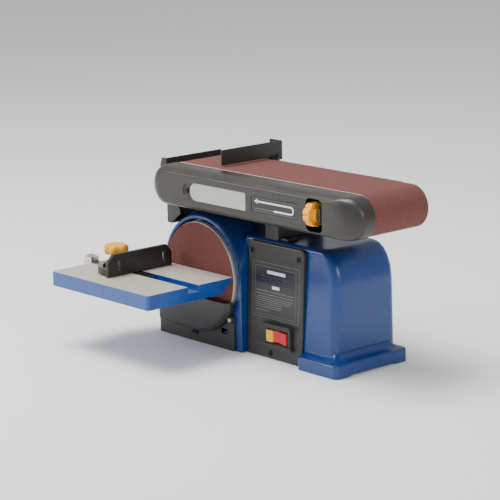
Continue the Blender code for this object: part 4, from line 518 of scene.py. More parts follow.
def finish(name, colour, roughness, metal=0.0, coat=0.0, tone=0.10, tone_scale=30.0, gloss=0.06,
           bump=None, depth=0.03 * MM, wear=None, edge=0.6 * MM, dust=0.0, specular=0.5):
    """A material from the recipe.

    bump is (group, its inputs) and depth its height in metres; wear is (colour, amount from 0 to 1).
    """
    material = bpy.data.materials.new(name)
    material.use_nodes = True
    tree = material.node_tree
    shader = tree.nodes["Principled BSDF"]
    mottle = use(tree, MOTTLE, Scale=tone_scale).outputs["Mask"]
    paint = blend(tree, mottle, shaded(colour, 1 - tone), shaded(colour, 1 + tone))
    edges = use(tree, EDGES, Radius=edge)
    rough = add(tree, "ShaderNodeMapRange", {
        "Value": mottle, "To Min": max(0.03, roughness - gloss), "To Max": min(1, roughness + gloss),
    }).outputs["Result"]
    if wear:
        worn = arithmetic(tree, "MULTIPLY", edges.outputs["Mask"], wear[1])
        paint = blend(tree, worn, paint, shaded(wear[0], 1))
    if dust:
        settled = arithmetic(tree, "MULTIPLY", use(tree, DUST).outputs["Mask"], dust)
        paint = blend(tree, settled, paint, DUST_COLOUR)
        rough = arithmetic(tree, "ADD", rough, arithmetic(tree, "MULTIPLY", settled, 0.5))
    normal = edges.outputs["Normal"]
    if bump:
        group, inputs = bump
        height = use(tree, group, **inputs).outputs["Height"]
        normal = add(tree, "ShaderNodeBump", {"Height": height, "Distance": depth, "Normal": normal}
                     ).outputs["Normal"]
    tree.links.new(paint, shader.inputs["Base Color"])
    tree.links.new(rough, shader.inputs["Roughness"])
    tree.links.new(normal, shader.inputs["Normal"])
    shader.inputs["Metallic"].default_value = metal
    shader.inputs["Specular IOR Level"].default_value = specular
    shader.inputs["Coat Weight"].default_value = coat
    shader.inputs["Coat Roughness"].default_value = 0.12
    material.diffuse_color = (*colour[:3], 1)
    return material


def tint(material, mask, colour):
    """Lays a colour over a finish where a mask is one."""
    shader = material.node_tree.nodes["Principled BSDF"]
    base = shader.inputs["Base Color"].links[0].from_socket
    material.node_tree.links.new(blend(material.node_tree, mask, base, colour), shader.inputs["Base Color"])


def coordinate(tree, axis):
    """The Object coordinate of a surface along one axis."""
    return add(tree, "ShaderNodeSeparateXYZ", {
        "Vector": add(tree, "ShaderNodeTexCoord").outputs["Object"],
    }).outputs[axis]


print("recipe ready")

# %% Paints and plastics
STEEL = (0.50, 0.49, 0.47)
BLUE = finish("blue_enamel", (0.0020, 0.038, 0.190), 0.32, coat=0.2, tone=0.07, bump=(PEEL, {"Scale": 620.0}),
              depth=0.08 * MM, wear=((0.02, 0.09, 0.28), 0.3), edge=1.0 * MM)
COVER = finish("moulded_cover_plastic", (0.028, 0.025, 0.019), 0.34, tone=0.10,
               bump=(GRAIN, {"Scale": 1400.0}), depth=0.03 * MM, wear=((0.08, 0.075, 0.065), 0.45))
PANEL = finish("matt_panel_plastic", (0.028, 0.028, 0.025), 0.44, tone=0.08,
               bump=(GRAIN, {"Scale": 1700.0}), depth=0.04 * MM, wear=((0.08, 0.08, 0.075), 0.45))
DARK_STEEL = finish("black_painted_steel", (0.022, 0.021, 0.018), 0.38, tone=0.14,
                    bump=(PEEL, {"Scale": 900.0}), depth=0.04 * MM, wear=(STEEL, 0.35))
ARM_CASTING = finish("dark_casting", (0.030, 0.029, 0.027), 0.55, tone=0.2,
                     bump=(GRAIN, {"Scale": 700.0}), depth=0.10 * MM, wear=((0.2, 0.2, 0.19), 0.4))
GAUGE = finish("black_die_casting", (0.018, 0.017, 0.015), 0.34, tone=0.12,
               bump=(GRAIN, {"Scale": 1100.0}), depth=0.05 * MM, wear=(STEEL, 0.5))
ORANGE = finish("amber_knob_plastic", (0.98, 0.40, 0.0), 0.34, tone=0.06, bump=(GRAIN, {"Scale": 1500.0}),
                depth=0.02 * MM, wear=((1.0, 0.62, 0.08), 0.4), coat=0.15)
YELLOW = finish("yellow_key_plastic", (0.95, 0.50, 0.02), 0.28, tone=0.05, coat=0.2)
RED = finish("red_rocker_plastic", (0.70, 0.022, 0.030), 0.24, tone=0.06, coat=0.3)
RUBBER = finish("black_rubber", (0.016, 0.016, 0.016), 0.62, tone=0.15, bump=(GRAIN, {"Scale": 1900.0}))
LIGHT_PLATE = finish("satin_light_plate", (0.46, 0.475, 0.42), 0.36, tone=0.04, metal=0.25,
                     bump=(LINES, {"Stretch": (60.0, 1.0, 3500.0)}), depth=0.01 * MM)
FILM = finish("black_label_film", (0.012, 0.012, 0.013), 0.30, tone=0.08)
INK = finish("white_ink", (0.80, 0.81, 0.82), 0.45, tone=0.04)
GREY_INK = finish("grey_ink", (0.20, 0.20, 0.185), 0.5, tone=0.05)
RED_INK = finish("red_film", (0.32, 0.012, 0.015), 0.35, tone=0.06)
# the same dark film also paints the shade of the panel's lower groove, besides the printed band
BAND_FILM_AND_GROOVE_SHADE = finish("dark_band_film_and_painted_groove_shade", (0.012, 0.015, 0.022), 0.34, tone=0.08)
print("paints and plastics made")

# %% Bare metals
DISC_CENTRE = (DISC_AXIS[0], 0, DISC_AXIS[1])
DRUM_CENTRE = (DRUM_AXIS[0], 0, DRUM_AXIS[1])
IDLER_CENTRE = (IDLER_AXIS[0], 0, IDLER_AXIS[1])
DISC_METAL = finish("turned_aluminium_disc", (0.74, 0.73, 0.69), 0.34, metal=0.55, tone=0.06,
                    bump=(RINGS, {"Centre": DISC_CENTRE}), depth=0.03 * MM)
DRUM_METAL = finish("turned_aluminium_drum", (0.55, 0.55, 0.54), 0.30, metal=1.0, tone=0.08,
                    bump=(RINGS, {"Centre": DRUM_CENTRE}), depth=0.03 * MM)
IDLER_METAL = finish("turned_aluminium_idler", (0.55, 0.55, 0.54), 0.30, metal=1.0, tone=0.08,
                     bump=(RINGS, {"Centre": IDLER_CENTRE}), depth=0.03 * MM)
ZINC = finish("zinc_plated_steel", (0.56, 0.56, 0.55), 0.30, metal=1.0, tone=0.12, tone_scale=180.0)
GROUND = finish("ground_steel", (0.62, 0.61, 0.59), 0.24, metal=1.0, tone=0.08,
                bump=(LINES, {"Stretch": (40.0, 3000.0, 3000.0)}), depth=0.01 * MM)
CASTING = finish("bare_aluminium_casting", (0.50, 0.50, 0.49), 0.44, metal=1.0, tone=0.12,
                 bump=(GRAIN, {"Scale": 900.0}), depth=0.06 * MM)
BLACK_SCREW = finish("black_oxide_screw", (0.012, 0.012, 0.012), 0.36, metal=0.4, tone=0.15)
print("bare metals made")

# %% [markdown]
# ## The table's two surfaces
# A table like this is painted all over and its top is then ground flat, so the paint ends at the top's
# edge and the miter slot stays blue. One material does both: a zone of the height picks the bare top,
# which has long grinding lines across it.

# %% Table material
TABLE_TOP = corners("work_table")[1][2]
TABLE = finish("painted_table_with_ground_top", (0.0030, 0.062, 0.290), 0.30, coat=0.3, tone=0.12,
               bump=(PEEL, {"Scale": 620.0}), depth=0.05 * MM, wear=((0.10, 0.25, 0.50), 0.3))
tree = TABLE.node_tree
top_zone = use(tree, ZONE, Value=coordinate(tree, "Z"), Low=TABLE_TOP - 0.15 * MM, High=1.0).outputs["Mask"]
strokes = use(tree, LINES, Stretch=(35.0, 1500.0, 1.0)).outputs["Mask"]
fleck = use(tree, MOTTLE, Scale=420.0).outputs["Mask"]
ground = blend(tree, strokes, (0.43, 0.385, 0.32, 1), (0.60, 0.55, 0.475, 1))
ground = blend(tree, arithmetic(tree, "MULTIPLY", fleck, 0.35), ground, (0.36, 0.33, 0.28, 1))
tint(TABLE, top_zone, ground)
shader = tree.nodes["Principled BSDF"]
plain = shader.inputs["Roughness"].links[0].from_socket
rough = add(tree, "ShaderNodeMix", {0: top_zone, 2: plain, 3: 0.5}, data_type="FLOAT").outputs[0]
tree.links.new(rough, shader.inputs["Roughness"])
print("table top at", round(TABLE_TOP, 4))

# %% [markdown]
# ## Abrasive cloth
# Brown aluminium oxide sits in glue on cloth. Up close it is a field of small crystals, from afar a matt
# red-brown with fine streaks where the coating ran. The cut edge shows the cream cloth. The colour comes
# from the grit group, and a zone at the cut edges lays the cream over it.

# %% Abrasive materials
def abrasive(name, dark, light, streak):
    """Red-brown grit with streaks drawn out along one direction."""
    made = finish(name, dark, 0.85, tone=0.10, gloss=0.08, bump=(GRIT, {"Scale": 1900.0}), depth=0.14 * MM,
                  edge=0.3 * MM, specular=0.35)
    tree = made.node_tree
    grains = use(tree, GRIT, Scale=1900.0).outputs["Mask"]
    runs = use(tree, LINES, Stretch=streak).outputs["Mask"]
    tint(made, arithmetic(tree, "MULTIPLY", grains, 0.75), (*light, 1))
    tint(made, arithmetic(tree, "MULTIPLY", runs, 0.22), shaded(dark, 0.55))
    return made


CREAM = (0.62, 0.52, 0.40, 1)
DISC_PAPER = abrasive("disc_abrasive", (0.125, 0.032, 0.028), (0.27, 0.10, 0.085), (900.0, 1.0, 45.0))
tree = DISC_PAPER.node_tree
face_depth = coordinate(tree, "Y")
cut_edge = use(tree, ZONE, Value=face_depth, Low=disc_low[1] + 0.3 * MM, High=1.0).outputs["Mask"]
tint(DISC_PAPER, cut_edge, CREAM)
BELT_CLOTH = abrasive("belt_abrasive", (0.115, 0.032, 0.028), (0.26, 0.10, 0.085), (30.0, 650.0, 30.0))
tree = BELT_CLOTH.node_tree
side = coordinate(tree, "Y")
near = use(tree, ZONE, Value=side, Low=-1.0, High=belt_low[1] + 0.5 * MM).outputs["Mask"]
far = use(tree, ZONE, Value=side, Low=belt_high[1] - 0.5 * MM, High=1.0).outputs["Mask"]
tint(BELT_CLOTH, arithmetic(tree, "MAXIMUM", near, far), CREAM)
print("abrasives made")

# %% [markdown]
# ## Putting pieces in place
# A new piece stands for the imported one and rides on the same body.

# %% Ride, replace, paint
BODY_OF = {node: body for body, nodes in frame["record"]["behaviour"]["bodies"].items() for node in nodes}
finished = set()


def stands_for(piece, material, *nodes):
    """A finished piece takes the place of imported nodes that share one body."""
    piece.data.materials.clear()
    piece.data.materials.append(material)
    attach(piece, BODY_OF[nodes[0]])
    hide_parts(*nodes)
    finished.update(nodes)
    return piece


def goes_with(piece, material, node):
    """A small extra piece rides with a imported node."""
    piece.data.materials.clear()
    piece.data.materials.append(material)
    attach(piece, BODY_OF[node])
    return piece


print("bodies:", sorted(set(BODY_OF.values())))

# %% [markdown]
# ## The abrasive disc and its plate
# The disc is a turned aluminium plate with abrasive cloth stuck to its face. Both are lathe surfaces. The
# plate's rim keeps its fine turning rings and catches a bright line; the cloth is a thin cream-edged sheet.

# %% Disc
plate_low, plate_high = corners("disc_plate")
rim = DISC_RADIUS
hub = 16 * MM
bore = 8.3 * MM
face = plate_low[1]
rear = face + 15.5 * MM - 0.3 * MM
sheet = turned("disc_cloth", [(0, disc_low[1]), (rim - 0.5 * MM, disc_low[1]), (rim - 0.5 * MM, disc_high[1]),
                              (0, disc_high[1])], DISC_AXIS, steps=180, edge=0.25 * MM)
stands_for(sheet, DISC_PAPER, "abrasive_disc")
plate = turned("disc_backing", [
    (0, face), (rim, face), (rim, face + 3.2 * MM), (rim - 0.5 * MM, face + 3.6 * MM),
    (rim - 0.5 * MM, face + 9.5 * MM), (rim - 2 * MM, face + 10 * MM), (rim - 6 * MM, face + 10 * MM),
    (hub, face + 10 * MM), (hub, plate_high[1]), (bore, plate_high[1]), (bore, face + 2.4 * MM),
    (0, face + 2.4 * MM),
], DISC_AXIS, steps=180, edge=0.5 * MM)
stands_for(plate, DISC_METAL, "disc_plate")
print("disc radius", round(rim, 4), "face at", round(disc_low[1], 4))

# %% [markdown]
# ## The belt and its drums
# The belt is a strip carried along a stadium-shaped path: two half circles round the drums and two
# straight runs. Its section is a thin rectangle with soft corners, and the path is one array, so the
# strip is one grid that closes both ways. The drums are lathe surfaces with a web and a rim.

# %% Belt
left, right = DRUM_AXIS[0], IDLER_AXIS[0]
thick = 1.2 * MM
middle = BELT_RADIUS - thick / 2
run = stadium(left, right, BELT_Z, middle, steps=72)
straight = np.linspace(0.02, 0.98, 40)[:, None]
one = run[71] + (run[72] - run[71]) * straight
two = run[143] + (run[0] - run[143]) * straight
path = np.concatenate([run[:72], one, run[72:], two])
outward = path - np.stack([np.clip(path[:, 0], left, right), np.full(len(path), BELT_Z)], -1)
outward /= np.linalg.norm(outward, axis=1, keepdims=True)
section = rounded((-thick / 2, thick / 2), (belt_low[1], belt_high[1]), 0.45 * MM, steps=4)
points = path[:, None, :] + outward[:, None, :] * section[None, :, :1]
depth = np.broadcast_to(section[None, :, 1], points.shape[:2])
belt = surface("belt_strip", placed("Y", points[:, :, 0], points[:, :, 1], depth), ring=True)
stands_for(belt, BELT_CLOTH, "sanding_belt")
print("belt's path points:", len(path))

# %% Drums
def drum(name, node, axis, bore_radius, hub_radius):
    """A drum with crowned edges, and one web between its hub and its rim."""
    low, high = corners(node)
    front, rear = low[1], high[1]
    radius = (high[0] - low[0]) / 2
    inside = radius - 3.5 * MM
    centre, web = (front + rear) / 2, 5 * MM
    profile = [(bore_radius, front), (hub_radius, front), (hub_radius, centre - web), (inside, centre - web),
               (inside, front), (radius - 0.7 * MM, front), (radius, front + 4 * MM),
               (radius, rear - 4 * MM), (radius - 0.7 * MM, rear), (inside, rear), (inside, centre + web),
               (hub_radius, centre + web), (hub_radius, rear), (bore_radius, rear)]
    return turned(name, profile, axis, steps=128, edge=0.8 * MM)


stands_for(drum("driving_drum", "drive_drum", DRUM_AXIS, 8.3 * MM, 14 * MM), DRUM_METAL, "drive_drum")
stands_for(drum("idling_drum", "idler_drum", IDLER_AXIS, 6.3 * MM, 12 * MM), IDLER_METAL, "idler_drum")


def pin(name, node, centre, axis="Y", chamfer=0.8 * MM, steps=64):
    """A plain round pin with chamfered ends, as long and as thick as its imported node."""
    low, high = corners(node)
    across, along = ({"X": 1, "Y": 0, "Z": 0}[axis], {"X": 0, "Y": 1, "Z": 2}[axis])
    radius = (high[across] - low[across]) / 2
    a, b = low[along], high[along]
    profile = [(0, a), (radius - chamfer, a), (radius, a + chamfer), (radius, b - chamfer),
               (radius - chamfer, b), (0, b)]
    return turned(name, profile, centre, axis, steps, edge=0.2 * MM)


stands_for(pin("drum_shaft_turned", "drum_shaft", DRUM_AXIS), GROUND, "drum_shaft")
stands_for(pin("idler_axle_turned", "idler_axle", IDLER_AXIS), GROUND, "idler_axle")
print("drums and shafts turned")

# %% [markdown]
# ## Motor, bearings and pulleys
# These sit inside the base and under the drive cover. They are still real parts: a bearing shows two
# steel races, a seal between them and a groove, and a pulley has two thin flanges.

# %% Bearings and pulleys
def bearing(name, node, centre):
    """Two races with a sunken seal between them, as one lathe ring."""
    low, high = corners(node)
    front, rear = low[1], high[1]
    outer = (high[0] - low[0]) / 2
    inner = 8.3 * MM
    sunk = 0.7 * MM
    profile = [(inner, front), (inner + 1.5 * MM, front), (inner + 1.8 * MM, front + sunk),
               (outer - 1.8 * MM, front + sunk), (outer - 1.5 * MM, front), (outer, front), (outer, rear),
               (outer - 1.5 * MM, rear), (outer - 1.8 * MM, rear - sunk), (inner + 1.8 * MM, rear - sunk),
               (inner + 1.5 * MM, rear), (inner, rear)]
    return turned(name, profile, centre, steps=72, edge=0.2 * MM)


for node, centre in (("motor_bearing_front", DISC_AXIS), ("motor_bearing_back", DISC_AXIS),
                     ("drum_bearing_front", DRUM_AXIS), ("drum_bearing_back", DRUM_AXIS)):
    stands_for(bearing(node + "_races", node, centre), GROUND, node)


def pulley(name, node, centre):
    """A belt pulley: a hub between two flanges, with a shallow dish in its outer face."""
    low, high = corners(node)
    front, rear = low[1], high[1]
    lip = (high[0] - low[0]) / 2
    groove = lip - 2.6 * MM
    inner = 8.3 * MM
    web = 1.4 * MM
    profile = [(inner, front), (lip, front), (lip, front + web * 0.6), (groove, front + web),
               (groove, rear - web), (lip, rear - web * 0.6), (lip, rear), (lip - 2 * MM, rear),
               (lip - 3 * MM, rear - 0.8 * MM), (inner + 3 * MM, rear - 0.8 * MM), (inner + 2 * MM, rear),
               (inner, rear)]
    return turned(name, profile, centre, steps=96, edge=0.25 * MM)


stands_for(pulley("motor_pulley_turned", "motor_pulley", DISC_AXIS), DISC_METAL, "motor_pulley")
stands_for(pulley("drum_pulley_turned", "drum_pulley", DRUM_AXIS), DRUM_METAL, "drum_pulley")
print("bearings and pulleys turned")

# %% [markdown]
# ## The arm's side cover
# The cover is a moulded shell shaped like half a torpedo. Its outline is a stadium, drawn in a long way at
# the nose, less at the tail and a little along its edges as it comes forward. Quarter-circle easing makes
# those insets meet the flat face softly. The shell's inner skin is the same surface drawn in by a wall.
# The recesses for the plate, the label, the screw and the knob are cut afterwards, as a mould core would.

# %% Side cover shell
cover_low, cover_high = corners("side_cover")
COVER_FRONT, COVER_BACK = cover_low[1], cover_high[1]
COVER_RADIUS = (cover_high[2] - cover_low[2]) / 2


def cover_rings(wall, rear):
    """Rings of the cover from its open back to its face.

    With u from 0 to 1 and bulge = 1 - sqrt(1 - u^2), the outline is drawn in by the wall plus 46, 24 and
    9 mm of bulge at its nose, tail and long edges, and comes forward by (1 - u) of its rounded depth.
    """
    u = np.concatenate([np.linspace(0, 0.85, 12), np.linspace(0.88, 1, 10)])
    bulge = 1 - np.sqrt(1 - u ** 2)
    depth = COVER_FRONT + wall + 19.8 * MM * (1 - u)
    radius = COVER_RADIUS - wall - 9 * MM * bulge
    tail = cover_low[0] + wall + 24 * MM * bulge + radius
    nose = cover_high[0] - wall - 46 * MM * bulge - radius
    rings = [placed("Y", *stadium(*span).T, y) for *span, y in
             zip(tail, nose, np.full(len(u), BELT_Z), radius, depth)]
    return [placed("Y", rings[0][:, 0], rings[0][:, 2], rear)] + rings


outside = cover_rings(0, COVER_BACK)
inside = cover_rings(2.6 * MM, COVER_BACK)
middle_of = [np.broadcast_to(ring.mean(0), ring.shape) for ring in (inside[-1], outside[-1])]
cover = surface("cover_shell", np.stack([middle_of[0], *inside[::-1], *outside, middle_of[1]]))
plate_low, plate_high = corners("cover_plate")
label_low, label_high = corners("arrow_label")
knob_low, knob_high = corners("tracking_knob")
seat_radius = [12 * MM, 0.7 * MM, 0.7 * MM, 12 * MM]


def pocket(name, outline, bottom):
    """A cutter with one outline from in front of the cover to the pocket's bottom."""
    return stacked(name, lambda inset: outline, [(0, COVER_FRONT - 6 * MM), (0, bottom)])


seat_x = (plate_low[0] - 0.3 * MM, plate_high[0] + 0.3 * MM)
seat_z = (plate_low[2] - 0.3 * MM, plate_high[2] + 0.3 * MM)
label_x = (label_low[0] - 0.3 * MM, label_high[0] + 0.3 * MM)
label_z = (label_low[2] - 0.3 * MM, label_high[2] + 0.3 * MM)
screw_low, screw_high = corners("cover_screw")
SCREW_AXIS = ((screw_low[0] + screw_high[0]) / 2, BELT_Z)
slot_x = (DRUM_AXIS[0] + 304 * MM, DRUM_AXIS[0] + 335 * MM)
slot_z = (BELT_Z - 22.5 * MM, BELT_Z + 22.5 * MM)
outside = COVER_FRONT - 4 * MM
dish_floor = COVER_FRONT + 1.6 * MM
dish = turned("dish", [(0, outside), (10.5 * MM, outside), (8.2 * MM, dish_floor), (0, dish_floor)],
              SCREW_AXIS, edge=0.1 * MM)
hole_end = COVER_FRONT + 9 * MM
hole = turned("hole", [(0, outside), (2.5 * MM, outside), (2.5 * MM, hole_end), (0, hole_end)],
              SCREW_AXIS, steps=32)
cut_out(
    cover,
    pocket("plate_pocket", rounded(seat_x, seat_z, seat_radius), COVER_FRONT + 2 * MM),
    pocket("label_pocket", rounded(label_x, label_z, 2 * MM), COVER_FRONT + 1.2 * MM),
    pocket("knob_window", rounded(slot_x, slot_z, 7 * MM), COVER_FRONT + 18 * MM),
    dish, hole,
)
stands_for(cover, COVER, "side_cover")
print("cover:", len(cover.data.polygons), "faces")

# %% Plate and label in the cover
def thin_plate(name, node, radius, edge):
    """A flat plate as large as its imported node, with rounded corners and rims."""
    low, high = corners(node)
    return stacked(name, lambda inset: rounded((low[0], high[0]), (low[2], high[2]), radius, inset),
                   edge_levels(low[1], high[1], edge))


stands_for(thin_plate("light_name_plate", "cover_plate", [12 * MM, 0.6 * MM, 0.6 * MM, 12 * MM], 0.35 * MM),
           LIGHT_PLATE, "cover_plate")
stands_for(thin_plate("label_film", "arrow_label", 2 * MM, 0.12 * MM), FILM, "arrow_label")


def ribbon(name, path, width, front, thick=0.12 * MM, depth_of=None):
    """A flat printed stroke: a path in X and Z with a width, its four corners at each path point.

    A corner is the path point plus or minus half the width times the path's normal, at two depths.
    Where depth_of is given, the stroke lies on that surface instead of on a flat one.
    """
    path = np.asarray(path, float)
    along = np.gradient(path, axis=0)
    along /= np.maximum(np.linalg.norm(along, axis=1, keepdims=True), 1e-9)
    side = np.stack([-along[:, 1], along[:, 0]], -1) * np.broadcast_to(width, (len(path),))[:, None] / 2
    flat = np.stack([path + side, path - side, path - side, path + side], 1)
    ground = depth_of(flat[:, :, 0], flat[:, :, 1]) if depth_of else np.full(flat.shape[:2], front)
    depth = ground + np.array([-thick, -thick, 0.05 * MM, 0.05 * MM])
    rows = placed("Y", flat[:, :, 0], flat[:, :, 1], depth)
    ends = [np.broadcast_to(row.mean(0), row.shape) for row in (rows[0], rows[-1])]
    return surface(name, np.concatenate([ends[0][None], rows, ends[1][None]]), sharp=20)


def frame_line(name, x, z, radius, width, front, depth_of=None):
    """A closed thin line round a rectangle with rounded corners."""
    loop = rounded(x, z, radius, steps=6)
    loop = np.concatenate([loop, loop[:2]])
    return ribbon(name, loop, width, front, depth_of=depth_of)


# the arrow: a long stroke to the right, round a half circle and back, with a head at its left end
film_front = label_low[1]
top, bottom = BELT_Z + 4.6 * MM, BELT_Z - 5.2 * MM
turn = (top - bottom) / 2
t = np.linspace(pi / 2, -pi / 2, 24)
bend_x = label_high[0] - 13 * MM
bend = np.stack([bend_x + turn * np.cos(t), (top + bottom) / 2 + turn * np.sin(t)], -1)
start = np.stack([np.linspace(label_low[0] + 12 * MM, bend_x - 1 * MM, 8), np.full(8, top)], -1)
finish_line = np.stack([np.linspace(bend_x - 1 * MM, bend_x - 34 * MM, 6), np.full(6, bottom)], -1)
stroke = ribbon("stroke", np.concatenate([start, bend, finish_line]), 2.5 * MM, film_front)
head_line = [(label_low[0] + way * MM, top) for way in (6, 9.5, 13.5)]
head = ribbon("head", head_line, np.array([0.3, 3.4, 7.0]) * MM, film_front)
border = frame_line("border", (label_low[0] + 2.2 * MM, label_high[0] - 2.2 * MM),
                    (label_low[2] + 2.0 * MM, label_high[2] - 2.0 * MM), 1.5 * MM, 0.45 * MM, film_front)
arrow = joined("belt_direction_arrow", [stroke, head])
goes_with(arrow, INK, "arrow_label")
goes_with(border, GREY_INK, "arrow_label")
dash_z = bottom - 0.2 * MM
dashes = [ribbon(f"dash_{i}", [(x, dash_z), (x + 5.2 * MM, dash_z)], 1.1 * MM, film_front)
          for i, x in enumerate(np.arange(label_low[0] + 8 * MM, bend_x - 37 * MM, 6.6 * MM))]
goes_with(joined("belt_label_dashes", dashes), GREY_INK, "arrow_label")
print("label printed")

# %% [markdown]
# ## Knobs
# A moulded hand knob is a lathe surface whose radius swells and shrinks as it goes round, so fingers can
# grip it. The wave is a cosine of the angle times the number of lobes, and fades towards the middle of the
# knob. Raising the cosine to a small power would sharpen the grooves; a plain one looks moulded.

# %% Knobs
def lobes(count, depth, radius):
    """A wave for turned(): depth times cos(count t), fading to nothing inside two thirds of a radius."""
    return lambda t, r: depth * np.cos(count * t) * np.clip(r / radius * 3 - 2, 0, 1)


def scallops(count, depth, radius):
    """Rounded bites: depth times (|cos(count t / 2)|^0.6 - 1), fading inwards."""
    return lambda t, r: depth * (np.abs(np.cos(count * t / 2)) ** 0.6 - 1) * np.clip(r / radius * 3 - 2, 0, 1)


def turning_place(joint):
    """Where a joint's axis lies: a lobed knob's box isn't centred on it, as its lobes aren't symmetrical."""
    return next(j["pos_m"] for j in frame["record"]["behaviour"]["joints"] if j["name"] == joint)


low, high = knob_low[0], knob_high[0]
KNOB_AXIS = tuple(turning_place("tracking_turn")[1:])
radius = (knob_high[2] - knob_low[2]) / 2
wheel = turned("tracking_wheel_knob", [
    (3.3 * MM, low), (7 * MM, low), (8 * MM, low + 1.2 * MM), (radius - 4.5 * MM, low + 1.2 * MM),
    (radius - 3.5 * MM, low), (radius - 0.8 * MM, low), (radius, low + 1.5 * MM),
    (radius, high - 4.5 * MM), (radius - 0.8 * MM, high - 3 * MM), (radius - 3.5 * MM, high - 3 * MM),
    (radius - 4.5 * MM, high - 4.4 * MM), (9.4 * MM, high - 4.4 * MM), (8.8 * MM, high), (3.3 * MM, high),
], KNOB_AXIS, "X", steps=252, edge=0.6 * MM, wave=scallops(9, 0.13, radius))
stands_for(wheel, ORANGE, "tracking_knob")

knob_low, knob_high = corners("miter_knob")
low, high = knob_low[2], knob_high[2]
centre = tuple(turning_place("miter_lock_turn")[:2])
radius = (knob_high[1] - knob_low[1]) / 2
cap = high - 14 * MM
washer = high - 25 * MM
grip = turned("miter_hand_knob", [
    (0, low), (3.6 * MM, low), (3.6 * MM, washer), (9 * MM, washer), (9 * MM, washer + 1.8 * MM),
    (6.4 * MM, washer + 2.6 * MM), (5.6 * MM, washer + 6 * MM), (6.2 * MM, cap - 1.5 * MM), (9 * MM, cap),
    (radius - 2.5 * MM, cap), (radius - 0.2 * MM, cap + 3.5 * MM), (radius, cap + 8 * MM),
    (radius - 1.4 * MM, high - 1.6 * MM), (radius - 5 * MM, high - 0.2 * MM), (6 * MM, high),
    (5 * MM, high - 0.9 * MM), (0, high - 0.9 * MM),
], centre, "Z", steps=224, edge=1.2 * MM, wave=lobes(7, 0.075, radius))
stands_for(grip, ORANGE, "miter_knob")

knob_low, knob_high = corners("table_lock_knob")
low, high = knob_low[0], knob_high[0]
centre = tuple(turning_place("table_lock_turn")[1:])
radius = 15.5 * MM
seat = low + 20 * MM
lock = turned("table_lock_hand_knob", [
    (0, low + 0.8 * MM), (5 * MM, low + 0.8 * MM), (6 * MM, low), (radius - 4 * MM, low + 0.8 * MM),
    (radius - 0.5 * MM, low + 3.5 * MM), (radius, low + 8 * MM), (radius - 2 * MM, low + 12.5 * MM),
    (10.6 * MM, low + 13.5 * MM), (10.2 * MM, seat - 2 * MM), (11 * MM, seat), (4 * MM, seat), (4 * MM, high),
    (0, high),
], centre, "X", steps=200, edge=1.0 * MM, wave=lobes(5, 0.085, radius))
stands_for(lock, COVER, "table_lock_knob")
print("knobs turned")

# %% [markdown]
# ## Screws
# Every screw has a pan head with a cross recess. The head's top is a height over a polar grid: a dome, less
# a dip where the point lies inside either arm of the cross. Working the dip out from distances keeps the
# recess crisp without a boolean cut, and each screw stays a few hundred faces.

# %% Cross-head screws
def screw(name, node, axis, out, steps=72):
    """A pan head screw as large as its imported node, whose head looks along out (+1 or -1).

    Over the head, height = dome - dip, with the dip deep where min(|x|, |y|) is under the arm's half width
    and the distance from the middle is under the recess's reach.
    """
    low, high = corners(node)
    along = {"X": 0, "Y": 1, "Z": 2}[axis]
    across = [i for i in range(3) if i != along]
    centre = [(low[i] + high[i]) / 2 for i in across]
    radius = (high[across[0]] - low[across[0]]) / 2
    top = high[along] if out > 0 else low[along]
    end = low[along] if out > 0 else high[along]
    t = np.linspace(0, 2 * pi, steps, endpoint=False)[None, :]
    r = np.concatenate([np.linspace(0, 0.7, 15), [0.8, 0.9, 0.97, 1.0]])[:, None] * radius
    dome = -0.9 * MM * (r / radius) ** 4
    x, y = r * np.cos(t), r * np.sin(t)
    arm = np.minimum(np.abs(x), np.abs(y))
    in_arm = np.clip((0.12 * radius - arm) / (0.05 * radius), 0, 1)
    inside = in_arm * np.clip((0.6 * radius - r) / (0.1 * radius), 0, 1)
    height = dome - 1.0 * MM * inside
    head_under = -1.9 * MM
    shank = radius * 0.5
    tip = -abs(top - end)
    rows_r = [np.broadcast_to(r, x.shape)] + [np.full((1, steps), v) for v in (radius, shank, shank, 0.0)]
    rows_h = [height] + [np.full((1, steps), v) for v in (head_under, head_under, tip, tip)]
    radii, heights = np.concatenate(rows_r), np.concatenate(rows_h)
    points = placed(axis, centre[0] + radii * np.cos(t), centre[1] + radii * np.sin(t), top + out * heights)
    return surface(name, points, sharp=40)


for node, axis, out, metal in (
    ("guard_screw_1", "Y", -1, ZINC), ("guard_screw_2", "Y", -1, BLACK_SCREW),
    ("panel_screw_1", "Y", -1, BLACK_SCREW), ("panel_screw_2", "Y", -1, BLACK_SCREW),
    ("panel_screw_3", "Y", -1, BLACK_SCREW), ("cover_screw", "Y", -1, BLACK_SCREW),
    ("stop_screw_1", "X", 1, BLACK_SCREW), ("stop_screw_2", "X", 1, BLACK_SCREW),
    ("drive_cover_screw", "Y", 1, BLACK_SCREW),
):
    stands_for(screw(node + "_head", node, axis, out), metal, node)
print("screws driven")

# %% [markdown]
# ## The outlets on the back
# The dust port is a turned sleeve with a flange and a slight taper, so a hose pushes on. The cord's gland
# is a rubber bush with rings that let it flex.

# %% Dust port and gland
low, high = corners("dust_port")
centre = ((low[0] + high[0]) / 2, (low[2] + high[2]) / 2)
front, rear = low[1], high[1]
outer = 29 * MM
inner = outer - 2.5 * MM
seat = front + 10.3 * MM
port = turned("dust_port_sleeve", [
    (inner, front), (outer - 0.2 * MM, front), (outer - 0.2 * MM, seat), (outer + 8 * MM, seat),
    (outer + 8 * MM, seat + 3 * MM), (outer + 1.2 * MM, seat + 3 * MM), (outer, seat + 4.5 * MM),
    (outer - 0.5 * MM, rear - 7 * MM), (outer, rear - 6.4 * MM), (outer, rear - 5 * MM),
    (outer - 0.7 * MM, rear - 4.4 * MM), (outer - 0.8 * MM, rear), (inner, rear),
], centre, steps=144, edge=0.6 * MM)
stands_for(port, COVER, "dust_port")
low, high = corners("cord_gland")
centre = ((low[0] + high[0]) / 2, (low[2] + high[2]) / 2)
front, rear = low[1], high[1]
